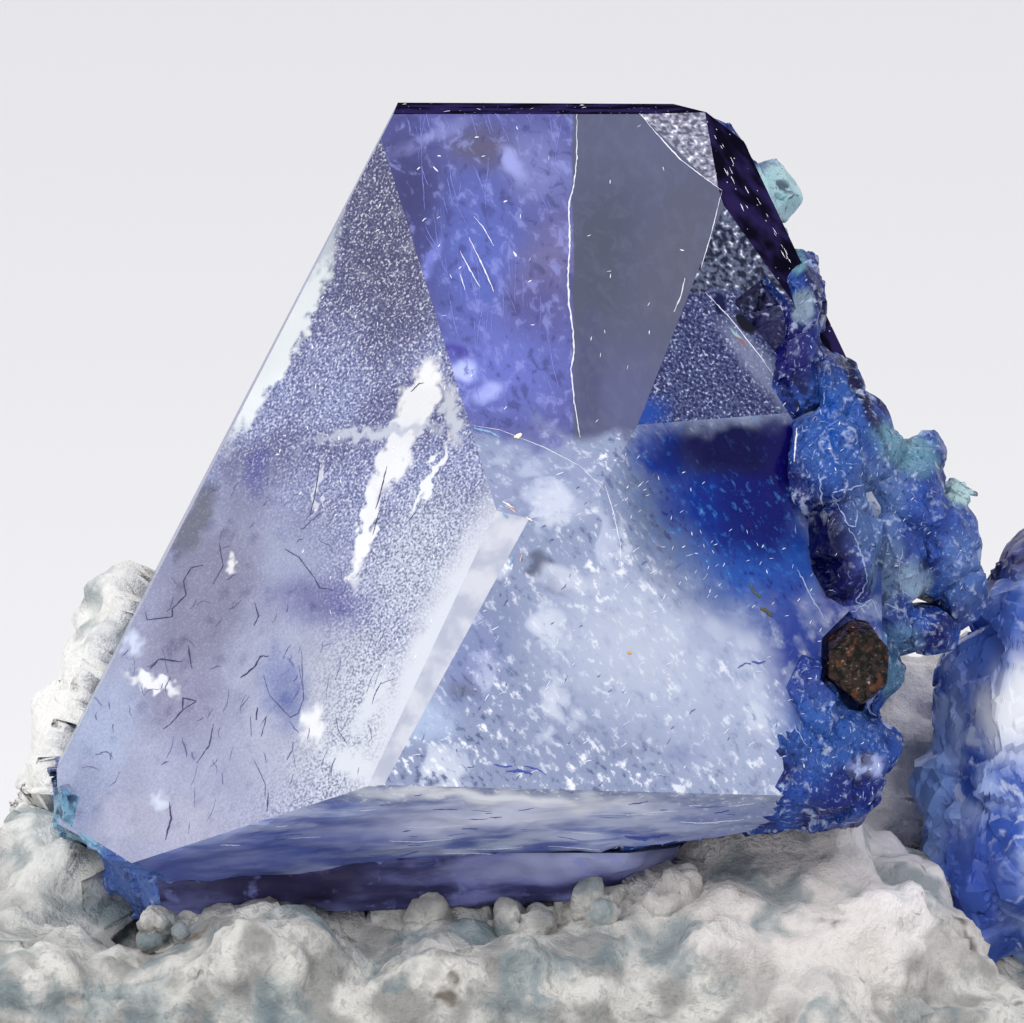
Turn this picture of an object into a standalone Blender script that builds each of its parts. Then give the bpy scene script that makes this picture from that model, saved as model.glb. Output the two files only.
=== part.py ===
"""Benitoite crystals on their white matrix, a hand specimen 27 mm wide.

A large three-sided benitoite crystal with a flat top stands on its broad girdle on a lumpy white
rock. Rough blue growths, buds and a hooked lobe cover its right side, and a small brown-black
neptunite crystal sits in a pocket there. A second, smaller benitoite crystal grows from the same
rock further right. The rock is cut flat underneath and stands on that cut.

Sizes are in millimetres, turned to metres by MM. Places are given as someone standing in front sees
them: to the right of the middle, up from the foot, and deep behind the front of the large crystal,
in a picture plane that is tipped by VIEW_TILT_DEG.
"""
import math
import random

import bmesh
import bpy
from mathutils import Matrix, Vector, noise

MM = 0.001

# The view that the places are given in looks down by this angle
VIEW_TILT_DEG = 6.0
# From the front of the large crystal to the middle of the specimen
FRONT_TO_MIDDLE = 7.3

# The rock's width and depth, and the room it leaves round what grows on it
MATRIX_WIDTH = 27.0
MATRIX_DEPTH = 15.0
SEAT_GAP = 0.3
# The pocket's room round the brown-black crystal
POCKET_GAP = 0.1

# The large crystal: its middle, and each face's heading and rise in degrees and its distance in mm
CRYSTAL_MIDDLE = (-0.19, 10.07, 5.33)
CRYSTAL_FACES = {
    "top": (0.0, 90.0, 7.85),
    "centre": (-90.0, 41.0, 4.70),
    "left": (-127.1, 26.1, 4.14),
    "left bevel": (-97.2, 17.3, 4.89),
    "front": (-82.5, 9.6, 4.91),
    "upper right": (-60.3, 28.5, 5.12),
    "lower right": (-60.2, 23.7, 5.03),
    "chipped corner": (-73.9, 48.9, 5.95),
    "dark right": (-30.0, 36.3, 6.60),
    "right": (20.3, 14.3, 5.83),
    "right shoulder": (20.4, 53.5, 8.37),
    "right foot": (5.5, -2.3, 5.86),
    "back": (87.1, 11.5, 4.03),
    "left back": (178.0, 27.2, 5.15),
    "left foot": (180.0, -2.8, 7.29),
    "under left": (-163.3, -58.4, 6.84),
    "under front": (-86.4, -56.5, 5.05),
    "under": (-36.6, -82.9, 4.03),
}

# The dark step under the front of the large crystal
STEP_MIDDLE = (-1.81, 5.79, 5.33)
STEP_FACES = {
    "front": (-92.0, -30.9, 2.32),
    "corner": (-43.4, -40.6, 3.34),
    "right": (-7.8, -16.7, 4.40),
    "left": (-164.0, -20.8, 4.23),
    "back": (90.0, -6.0, 3.72),
    "bottom": (-59.4, -84.4, 0.67),
    "top": (0.0, 90.0, 0.53),
}

# Rough growths on the large crystal: middle, half sizes (right, up, deep) and number of facets
GROWTHS = {
    "upper ridge": ((4.72, 14.35, 4.4), (0.36, 1.10, 0.75), 16),
    "ridge foot": ((5.15, 13.30, 3.9), (0.50, 0.85, 0.80), 18),
    "ledge block": ((4.55, 13.55, 3.4), (0.42, 0.80, 0.50), 14),
    "shoulder": ((5.60, 12.45, 3.9), (0.68, 0.95, 1.00), 22),
    "inner shoulder": ((5.05, 12.00, 2.9), (0.62, 1.05, 0.75), 18),
    "right lobe": ((6.25, 11.55, 4.2), (0.85, 1.00, 1.15), 26),
    "outer lobe": ((6.85, 10.95, 4.4), (0.78, 0.92, 0.90), 26),
    "lobe top": ((6.45, 12.15, 4.5), (0.62, 0.45, 0.80), 18),
    "front lobe": ((6.10, 10.75, 3.5), (0.62, 0.80, 0.70), 20),
    "hook tip": ((7.22, 10.20, 4.4), (0.42, 0.58, 0.52), 16),
    "hook foot": ((6.40, 9.62, 4.1), (0.75, 0.42, 0.75), 18),
    "hook root": ((5.85, 9.95, 3.5), (0.60, 0.55, 0.80), 18),
    "pocket wall": ((5.30, 10.85, 2.7), (0.60, 1.00, 0.80), 22),
    "toothed plate": ((6.00, 8.95, 3.9), (0.30, 0.72, 0.80), 14),
    "lower lobe": ((5.30, 7.80, 2.3), (0.78, 0.80, 0.85), 24),
    "lower tip": ((5.80, 7.70, 2.6), (0.42, 0.50, 0.60), 14),
    "lower nub": ((5.25, 6.95, 2.3), (0.62, 0.48, 0.75), 18),
    "inner lobe": ((4.70, 8.35, 1.7), (0.62, 0.80, 0.52), 18),
    "back bud": ((4.10, 16.60, 6.8), (0.55, 0.50, 0.95), 18),
    "notch bud": ((4.62, 15.50, 5.7), (0.22, 0.26, 0.70), 12),
    "lower bud": ((4.78, 14.90, 5.6), (0.26, 0.32, 0.80), 12),
    "pale bud": ((6.60, 12.35, 5.0), (0.42, 0.34, 0.65), 14),
    "far bud": ((7.18, 11.78, 5.0), (0.29, 0.26, 0.60), 12),
    "left foot": ((-7.12, 6.70, 4.0), (0.34, 0.45, 1.00), 14),
}

# A growth's facets lie this share of the way out, or further
FACET_DEPTH = 0.86

# The hole through the hooked lobe, seen from the front: middle, half sizes and half length
HOOK_HOLE = ((6.78, 9.93, 4.3), (0.27, 0.22), 2.5)

# The rough ledge between the frosted triangle and the dark right face: middle, half sizes and turn
LEDGE_MIDDLE = (4.50, 13.95, 3.9)
LEDGE_HALF_SIZES = (0.42, 1.30)
LEDGE_DEPTH = 0.18
LEDGE_TURN_DEG = 30.0

# The second benitoite crystal and its rough growths
SIDE_MIDDLE = (9.3, 7.4, 7.4)
SIDE_FACES = {
    "top": (0.0, 90.0, 2.70),
    "front": (-96.0, 12.0, 2.00),
    "front left": (-140.0, 15.0, 2.35),
    "front right": (-42.0, 14.0, 2.30),
    "left": (180.0, 6.0, 2.50),
    "upper left": (178.0, 46.0, 2.85),
    "right": (0.0, 10.0, 2.40),
    "upper right": (4.0, 48.0, 2.90),
    "back": (90.0, 10.0, 2.20),
    "back left": (135.0, 12.0, 2.45),
    "back right": (46.0, 14.0, 2.40),
    "under left": (-176.0, -42.0, 2.90),
    "under front": (-90.0, -38.0, 2.90),
    "under back": (90.0, -40.0, 2.50),
    "under right": (0.0, -42.0, 2.90),
    "bottom": (0.0, -90.0, 3.90),
}
SIDE_GROWTHS = {
    "crown": ((9.35, 10.35, 7.4), (1.75, 1.00, 1.45), 26),
    "crown step": ((8.55, 9.70, 6.6), (0.90, 0.75, 0.90), 20),
    "left knob": ((7.15, 7.00, 6.9), (0.70, 0.72, 0.90), 22),
    "left foot": ((7.60, 5.10, 6.5), (0.75, 0.95, 0.90), 22),
    "front knob": ((8.60, 5.90, 5.6), (0.95, 1.05, 0.60), 22),
    "right knob": ((10.9, 8.20, 6.8), (0.85, 1.10, 0.90), 20),
}

# The brown-black crystal: its middle and its faces
GRAIN_MIDDLE = (5.56, 9.07, 1.75)
GRAIN_FACES = {
    "front": (-84.0, 8.0, 0.40),
    "back": (96.0, -6.0, 0.46),
    "left": (182.0, 4.0, 0.48),
    "upper left": (-172.0, 52.0, 0.52),
    "top": (-60.0, 80.0, 0.55),
    "upper right": (4.0, 38.0, 0.54),
    "right": (0.0, -4.0, 0.50),
    "lower right": (-10.0, -48.0, 0.58),
    "bottom": (-90.0, -84.0, 0.66),
    "lower left": (-170.0, -50.0, 0.50),
    "front bevel": (-110.0, 48.0, 0.52),
}
GRAIN_PITS = 0.035

# Lumps of the rock, merged into one body: middle and half sizes
MATRIX_LUMPS = {
    "left base": ((-8.3, 1.2, 6.4), (5.10, 3.70, 5.6)),
    "middle base": ((-1.5, 1.2, 6.0), (5.20, 3.90, 6.2)),
    "right base": ((4.0, 1.2, 6.3), (5.20, 4.00, 6.3)),
    "far right base": ((9.0, 0.9, 7.6), (4.40, 3.20, 5.8)),
    "right seat": ((4.3, 4.9, 5.8), (2.50, 1.90, 3.4)),
    "left wall": ((-6.4, 5.2, 8.8), (1.90, 2.60, 3.2)),
    "left knob": ((-6.15, 7.6, 9.8), (1.50, 2.10, 2.4)),
    "left crown": ((-6.15, 9.4, 10.2), (1.15, 1.35, 1.9)),
    "back ridge": ((-1.0, 6.0, 12.2), (5.30, 3.00, 2.1)),
    "right back": ((5.6, 6.4, 11.0), (2.70, 2.90, 2.7)),
    "right knob": ((7.8, 7.4, 11.2), (1.60, 2.10, 1.9)),
    "front left lump": ((-4.2, 3.8, 2.3), (1.90, 1.20, 1.9)),
    "front middle lump": ((-0.5, 3.6, 2.0), (2.10, 1.30, 2.0)),
    "front right lump": ((3.0, 4.2, 3.2), (1.90, 1.35, 2.2)),
    "front corner lump": ((5.6, 4.5, 4.0), (1.80, 1.35, 2.0)),
    "right foot lump": ((8.1, 2.2, 3.4), (1.90, 1.30, 1.8)),
    "left foot lump": ((-7.3, 3.5, 3.4), (1.70, 1.30, 1.9)),
    "left end lump": ((-10.4, 2.8, 5.4), (1.80, 1.60, 2.4)),
    "right end lump": ((11.3, 3.2, 8.6), (1.70, 1.80, 2.6)),
}
# Grain of the rock's merged body, the size of its bumps and how far they stand out
MATRIX_CELL = 0.72
MATRIX_BUMP_SIZE = 2.1
MATRIX_BUMP_HEIGHT = 0.42


def seen(right, up, deep):
    """Give the place in metres of a point stated as it is seen from the front, in mm."""
    tilt = math.radians(VIEW_TILT_DEG)
    back = deep - FRONT_TO_MIDDLE
    along = back * math.cos(tilt) + up * math.sin(tilt)
    height = up * math.cos(tilt) - back * math.sin(tilt)
    return Vector((right, along, height)) * MM


def direction(heading_deg, rise_deg):
    """Give the unit vector that points along a compass heading and rises above the level."""
    heading = math.radians(heading_deg)
    rise = math.radians(rise_deg)
    flat = math.cos(rise)
    return Vector((flat * math.cos(heading), flat * math.sin(heading), math.sin(rise)))


def clear_scene():
    """Remove all objects, so that only the specimen is in the file."""
    for old in list(bpy.data.objects):
        bpy.data.objects.remove(old, do_unlink=True)


def make_collection(name):
    """Add a collection to the scene."""
    group = bpy.data.collections.new(name)
    bpy.context.scene.collection.children.link(group)
    return group


def make_material(name, colour, roughness, transmission=0.0):
    """Make a plain material with a colour, a roughness and how see-through it is."""
    material = bpy.data.materials.new(name)
    material.use_nodes = True
    shader = material.node_tree.nodes["Principled BSDF"]
    shader.inputs["Base Color"].default_value = (*colour, 1.0)
    shader.inputs["Roughness"].default_value = roughness
    shader.inputs["Metallic"].default_value = 0.0
    shader.inputs["Transmission Weight"].default_value = transmission
    shader.inputs["IOR"].default_value = 1.76
    return material


def mesh_object(name, bm, group):
    """Turn an edited mesh into an object in a collection."""
    mesh = bpy.data.meshes.new(name)
    bm.to_mesh(mesh)
    bm.free()
    thing = bpy.data.objects.new(name, mesh)
    group.objects.link(thing)
    return thing


def cut_flat(bm, place, normal):
    """Cut away what lies past a plane, and close the cut with a flat face."""
    cut = bmesh.ops.bisect_plane(
        bm,
        geom=bm.verts[:] + bm.edges[:] + bm.faces[:],
        dist=1e-7,
        plane_co=place,
        plane_no=normal,
        clear_outer=True,
    )
    rim = [item for item in cut["geom_cut"] if isinstance(item, bmesh.types.BMEdge)]
    bmesh.ops.edgenet_fill(bm, edges=rim)


def faced_solid(name, middle, faces, group, room=0.0):
    """Cut a block with one plane for each crystal face, each moved out by the room."""
    centre = seen(*middle)
    reach = max(distance for _, _, distance in faces.values())
    bm = bmesh.new()
    bmesh.ops.create_cube(bm, size=6.0 * reach * MM, matrix=Matrix.Translation(centre))
    for heading, rise, distance in faces.values():
        normal = direction(heading, rise)
        cut_flat(bm, centre + normal * (distance + room) * MM, normal)
    bmesh.ops.remove_doubles(bm, verts=bm.verts[:], dist=1e-6)
    bmesh.ops.recalc_face_normals(bm, faces=bm.faces[:])
    return mesh_object(name, bm, group)


def rough_lump(name, middle, half_sizes, facets, group, room=0.0):
    """Make a growth on a crystal: an ellipsoid cut flat by facets spread evenly round it."""
    chance = random.Random(name)
    bm = bmesh.new()
    bmesh.ops.create_cube(bm, size=2.3)
    for index in range(facets):
        # A golden-angle spiral spreads the facets, and chance sets each a little deeper
        height = 1.0 - 2.0 * (index + 0.5) / facets
        turn = index * math.pi * (3.0 - math.sqrt(5.0)) + chance.uniform(-0.3, 0.3)
        flat = math.sqrt(1.0 - height * height)
        normal = Vector((flat * math.cos(turn), flat * math.sin(turn), height))
        cut_flat(bm, normal * chance.uniform(FACET_DEPTH, 1.0), normal)
    sizes = [size + room for size in half_sizes]
    for vert in bm.verts:
        vert.co = seen(*(m + c * size for m, c, size in zip(middle, vert.co, sizes)))
    bmesh.ops.recalc_face_normals(bm, faces=bm.faces[:])
    return mesh_object(name, bm, group)


def settle(thing):
    """Replace an object's mesh by what its modifiers make of it."""
    bpy.context.view_layer.update()
    depsgraph = bpy.context.evaluated_depsgraph_get()
    mesh = bpy.data.meshes.new_from_object(thing.evaluated_get(depsgraph))
    thing.modifiers.clear()
    thing.data = mesh


def combine(thing, other, operation):
    """Join another solid to this one, or carve it out, and remove the other."""
    boolean = thing.modifiers.new(operation.lower(), "BOOLEAN")
    boolean.operation = operation
    boolean.solver = "EXACT"
    boolean.object = other
    settle(thing)
    bpy.data.objects.remove(other, do_unlink=True)


def weld(thing, distance):
    """Merge the points of a solid that lie closer together than a distance in mm."""
    bm = bmesh.new()
    bm.from_mesh(thing.data)
    bmesh.ops.remove_doubles(bm, verts=bm.verts[:], dist=distance * MM)
    bmesh.ops.dissolve_degenerate(bm, edges=bm.edges[:], dist=1e-6)
    bmesh.ops.triangulate(bm, faces=bm.faces[:])
    bm.to_mesh(thing.data)
    bm.free()


def grow_on(thing, growths, group, room=0.0):
    """Join a crystal's rough growths to it."""
    for label, (middle, half_sizes, facets) in growths.items():
        lump = rough_lump(label, middle, half_sizes, facets, group, room)
        combine(thing, lump, "UNION")


def hook_hole(group):
    """Make the cutter for the hole through the hooked lobe."""
    middle, half_sizes, half_length = HOOK_HOLE
    bm = bmesh.new()
    bmesh.ops.create_cone(
        bm, cap_ends=True, segments=10, radius1=1.0, radius2=1.0, depth=2.0,
    )
    for vert in bm.verts:
        right = middle[0] + vert.co.x * half_sizes[0]
        up = middle[1] + vert.co.y * half_sizes[1]
        vert.co = seen(right, up, middle[2] + vert.co.z * half_length)
    bmesh.ops.recalc_face_normals(bm, faces=bm.faces[:])
    return mesh_object("hook hole", bm, group)


def ledge_cutter(group):
    """Make the cutter that steps the rough ledge back behind the face it lies in."""
    heading, rise, distance = CRYSTAL_FACES["upper right"]
    normal = direction(heading, rise)
    place = seen(*LEDGE_MIDDLE)
    centre = seen(*CRYSTAL_MIDDLE)
    # The ledge's middle is dropped on to the face along the face's normal
    place += normal * (distance * MM - (place - centre).dot(normal))
    turn = normal.to_track_quat("Z", "Y").to_matrix().to_4x4()
    spin = Matrix.Rotation(math.radians(LEDGE_TURN_DEG), 4, "Z")
    bm = bmesh.new()
    bmesh.ops.create_cube(bm, size=2.0)
    for vert in bm.verts:
        vert.co.x *= LEDGE_HALF_SIZES[0] * MM
        vert.co.y *= LEDGE_HALF_SIZES[1] * MM
        vert.co.z *= LEDGE_DEPTH * MM
    bm.transform(Matrix.Translation(place) @ turn @ spin)
    return mesh_object("ledge cutter", bm, group)


def large_crystal(group, cutters, room=0.0):
    """Build the large benitoite crystal, or the room it takes in the rock."""
    crystal = faced_solid("benitoite_crystal", CRYSTAL_MIDDLE, CRYSTAL_FACES, group, room)
    step = faced_solid("dark step", STEP_MIDDLE, STEP_FACES, cutters, room)
    combine(crystal, step, "UNION")
    if not room:
        combine(crystal, ledge_cutter(cutters), "DIFFERENCE")
    grow_on(crystal, GROWTHS, cutters, room)
    return crystal


def side_crystal(group, cutters, room=0.0):
    """Build the second benitoite crystal, or the room it takes in the rock."""
    crystal = faced_solid("side_crystal", SIDE_MIDDLE, SIDE_FACES, group, room)
    grow_on(crystal, SIDE_GROWTHS, cutters, room)
    return crystal


def roughened_grain(group, room=0.0):
    """Build the brown-black crystal, or the pocket that it sits in."""
    grain = faced_solid("neptunite_crystal", GRAIN_MIDDLE, GRAIN_FACES, group, room)
    if room:
        return grain
    bm = bmesh.new()
    bm.from_mesh(grain.data)
    bmesh.ops.triangulate(bm, faces=bm.faces[:])
    bmesh.ops.subdivide_edges(bm, edges=bm.edges[:], cuts=1, use_grid_fill=True)
    bmesh.ops.triangulate(bm, faces=bm.faces[:])
    bm.normal_update()
    for vert in bm.verts:
        dent = abs(noise.noise(vert.co / MM * 3.7))
        vert.co -= vert.normal * dent * GRAIN_PITS * 2.0 * MM
    bm.to_mesh(grain.data)
    bm.free()
    return grain


def merged_lumps(group):
    """Merge the rock's lumps into one bumpy body of the specimen's width and depth."""
    bm = bmesh.new()
    for middle, half_sizes in MATRIX_LUMPS.values():
        ball = bmesh.ops.create_icosphere(bm, subdivisions=4, radius=1.0)
        for vert in ball["verts"]:
            spot = [m + c * s for m, c, s in zip(middle, vert.co, half_sizes)]
            vert.co = seen(*spot)
    rock = mesh_object("matrix", bm, group)
    remesh = rock.modifiers.new("merge", "REMESH")
    remesh.mode = "VOXEL"
    remesh.voxel_size = MATRIX_CELL * MM
    settle(rock)
    bm = bmesh.new()
    bm.from_mesh(rock.data)
    bm.normal_update()
    moved = {}
    for vert in bm.verts:
        spot = vert.co / (MATRIX_BUMP_SIZE * MM)
        swell = noise.noise(spot) + 0.5 * noise.noise(spot * 2.3)
        moved[vert] = vert.co + vert.normal * swell * MATRIX_BUMP_HEIGHT * MM
    for vert, spot in moved.items():
        vert.co = spot
    fit_to_size(bm)
    bm.to_mesh(rock.data)
    bm.free()
    return rock


def fit_to_size(bm):
    """Bring the rock to its exact width and depth, with its middle over the origin."""
    for axis, size in ((0, MATRIX_WIDTH), (1, MATRIX_DEPTH)):
        low = min(vert.co[axis] for vert in bm.verts)
        high = max(vert.co[axis] for vert in bm.verts)
        for vert in bm.verts:
            vert.co[axis] = (vert.co[axis] - (low + high) / 2) * size * MM / (high - low)


def flat_foot(rock):
    """Cut the rock off flat at its foot."""
    bm = bmesh.new()
    bm.from_mesh(rock.data)
    cut_flat(bm, Vector((0.0, 0.0, 0.0)), Vector((0.0, 0.0, -1.0)))
    bmesh.ops.recalc_face_normals(bm, faces=bm.faces[:])
    bm.to_mesh(rock.data)
    bm.free()


def hide_helpers(cutters):
    """Show what is left of the cutters as wire, outside the render."""
    for helper in cutters.objects:
        helper.hide_render = True
        helper.display_type = "WIRE"


def build():
    """Build the specimen's four pieces."""
    clear_scene()
    parts = make_collection("Benitoite specimen")
    cutters = make_collection("Cutters")

    blue = make_material("benitoite", (0.30, 0.36, 0.66), 0.2, 0.5)
    deep_blue = make_material("side benitoite", (0.16, 0.24, 0.62), 0.25, 0.4)
    brown_black = make_material("neptunite", (0.06, 0.03, 0.02), 0.35)
    white = make_material("matrix", (0.74, 0.75, 0.73), 0.85)

    crystal = large_crystal(parts, cutters)
    combine(crystal, hook_hole(cutters), "DIFFERENCE")
    combine(crystal, roughened_grain(cutters, POCKET_GAP), "DIFFERENCE")
    weld(crystal, 0.01)
    crystal.data.materials.clear()
    crystal.data.materials.append(blue)

    second = side_crystal(parts, cutters)
    weld(second, 0.01)
    second.data.materials.clear()
    second.data.materials.append(deep_blue)

    grain = roughened_grain(parts)
    grain.data.materials.append(brown_black)

    rock = merged_lumps(parts)
    flat_foot(rock)
    combine(rock, large_crystal(cutters, cutters, SEAT_GAP), "DIFFERENCE")
    combine(rock, side_crystal(cutters, cutters, SEAT_GAP), "DIFFERENCE")
    weld(rock, 0.01)
    rock.data.materials.clear()
    rock.data.materials.append(white)

    hide_helpers(cutters)


build()
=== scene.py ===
"""Dress the benitoite specimen: crystals, their inner clouds and cracks, and the white rock.

Places on the specimen are given as columns and rows of the 1024 x 1023 photograph, named by what
is there, and turned into millimetres in the photograph's own picture plane by the View class.
"""
import logging
import math
import random
from dataclasses import dataclass, field
from enum import Enum

import bmesh
import bpy
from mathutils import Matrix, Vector, noise
from mathutils.bvhtree import BVHTree


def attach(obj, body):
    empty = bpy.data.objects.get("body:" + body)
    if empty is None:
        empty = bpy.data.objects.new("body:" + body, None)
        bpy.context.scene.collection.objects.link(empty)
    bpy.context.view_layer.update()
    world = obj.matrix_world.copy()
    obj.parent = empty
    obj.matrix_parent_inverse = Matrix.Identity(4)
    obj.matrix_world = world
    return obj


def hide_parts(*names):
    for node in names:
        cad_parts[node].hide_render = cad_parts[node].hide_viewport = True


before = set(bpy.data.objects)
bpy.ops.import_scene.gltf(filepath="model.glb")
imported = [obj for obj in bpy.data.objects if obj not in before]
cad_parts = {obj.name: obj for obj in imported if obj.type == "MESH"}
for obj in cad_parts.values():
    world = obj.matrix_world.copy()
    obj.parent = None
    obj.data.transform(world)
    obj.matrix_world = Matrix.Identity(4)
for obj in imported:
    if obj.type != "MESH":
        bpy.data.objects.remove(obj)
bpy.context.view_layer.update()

logging.basicConfig(level=logging.INFO, format="%(message)s")
log = logging.getLogger("specimen")

MM = 0.001
NOISE_SEED = 4
Colour = tuple[float, float, float]
Pixel = tuple[float, float]


class Face(Enum):
    """The faces of the large crystal, each with its heading and rise in degrees."""

    TOP = (0.0, 90.0)
    CENTRE = (-90.0, 41.0)
    LEFT = (-127.1, 26.1)
    BEVEL = (-97.2, 17.3)
    FRONT = (-82.5, 9.6)
    UPPER_RIGHT = (-60.3, 28.5)
    LOWER_RIGHT = (-60.2, 23.7)
    CHIP = (-73.9, 48.9)
    DARK = (-30.0, 36.3)
    UNDER_FRONT = (-86.4, -56.5)
    STEP = (-92.0, -30.9)
    STEP_CORNER = (-43.4, -40.6)

    @property
    def normal(self) -> Vector:
        """The unit vector that points out of the face."""
        heading, rise = (math.radians(angle) for angle in self.value)
        flat = math.cos(rise)
        return Vector((flat * math.cos(heading), flat * math.sin(heading), math.sin(rise)))


@dataclass(frozen=True)
class View:
    """The photograph's view of the specimen.

    The picture plane is tipped down by tilt_deg. Its places are millimetres to the right of the
    middle, up from the foot, and deep behind the front of the large crystal.
    """

    tilt_deg: float = 6.0
    front_to_middle: float = 7.3
    pixels_per_mm: float = 61.9
    middle_column: float = 512.0
    middle_row: float = 511.5
    middle_up: float = 11.5
    focus_deep: float = 3.0
    lens: float = 1400.0
    sensor: float = 36.0
    columns: int = 1024

    def mm(self, pixel: Pixel) -> tuple[float, float]:
        """Turn a pixel into millimetres right and up in the picture plane."""
        right = (pixel[0] - self.middle_column) / self.pixels_per_mm
        up = (self.middle_row - pixel[1]) / self.pixels_per_mm + self.middle_up
        return right, up

    def place(self, right: float, up: float, deep: float) -> Vector:
        """Turn a place in the picture plane into metres in the specimen's frame."""
        tilt = math.radians(self.tilt_deg)
        back = deep - self.front_to_middle
        along = back * math.cos(tilt) + up * math.sin(tilt)
        height = up * math.cos(tilt) - back * math.sin(tilt)
        return Vector((right, along, height)) * MM

    def pixel_place(self, pixel: Pixel, deep: float) -> Vector:
        """Turn a pixel and a depth into metres in the specimen's frame."""
        return self.place(*self.mm(pixel), deep)

    @property
    def sight(self) -> Vector:
        """The direction that the camera looks in."""
        tilt = math.radians(self.tilt_deg)
        return Vector((0.0, math.cos(tilt), -math.sin(tilt)))

    def pixel(self, place: Vector) -> Pixel:
        """Give the pixel that shows a place in the specimen's frame."""
        tilt = math.radians(self.tilt_deg)
        up = (place.z * math.cos(tilt) + place.y * math.sin(tilt)) / MM
        column = self.middle_column + place.x / MM * self.pixels_per_mm
        return column, self.middle_row - (up - self.middle_up) * self.pixels_per_mm

    def make_camera(self) -> None:
        """Add the camera, so far off that the picture is almost without perspective."""
        wide = self.columns / self.pixels_per_mm * MM
        away = wide * self.lens / self.sensor
        target = self.place(0.0, self.middle_up, self.focus_deep)
        bpy.ops.object.camera_add(location=target - self.sight * away)
        camera = bpy.context.object
        camera.rotation_euler = self.sight.to_track_quat("-Z", "Y").to_euler()
        camera.data.lens = self.lens
        camera.data.sensor_width = self.sensor
        camera.data.clip_start = away * 0.2
        camera.data.clip_end = 20.0
        bpy.context.scene.camera = camera


VIEW = View()


def shade(red: int, green: int, blue: int) -> Colour:
    """Turn a colour as a screen shows it, 0 to 255, into the linear one that a material takes."""
    parts = (part / 255.0 for part in (red, green, blue))
    return tuple(p / 12.92 if p <= 0.04045 else ((p + 0.055) / 1.055) ** 2.4 for p in parts)


@dataclass(frozen=True)
class Spot:
    """An oval of colour in the picture: its middle, half sizes in pixels, turn and softness."""

    middle: Pixel
    radii: Pixel
    colour: Colour
    turn_deg: float = 0.0
    soft: float = 0.5


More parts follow.
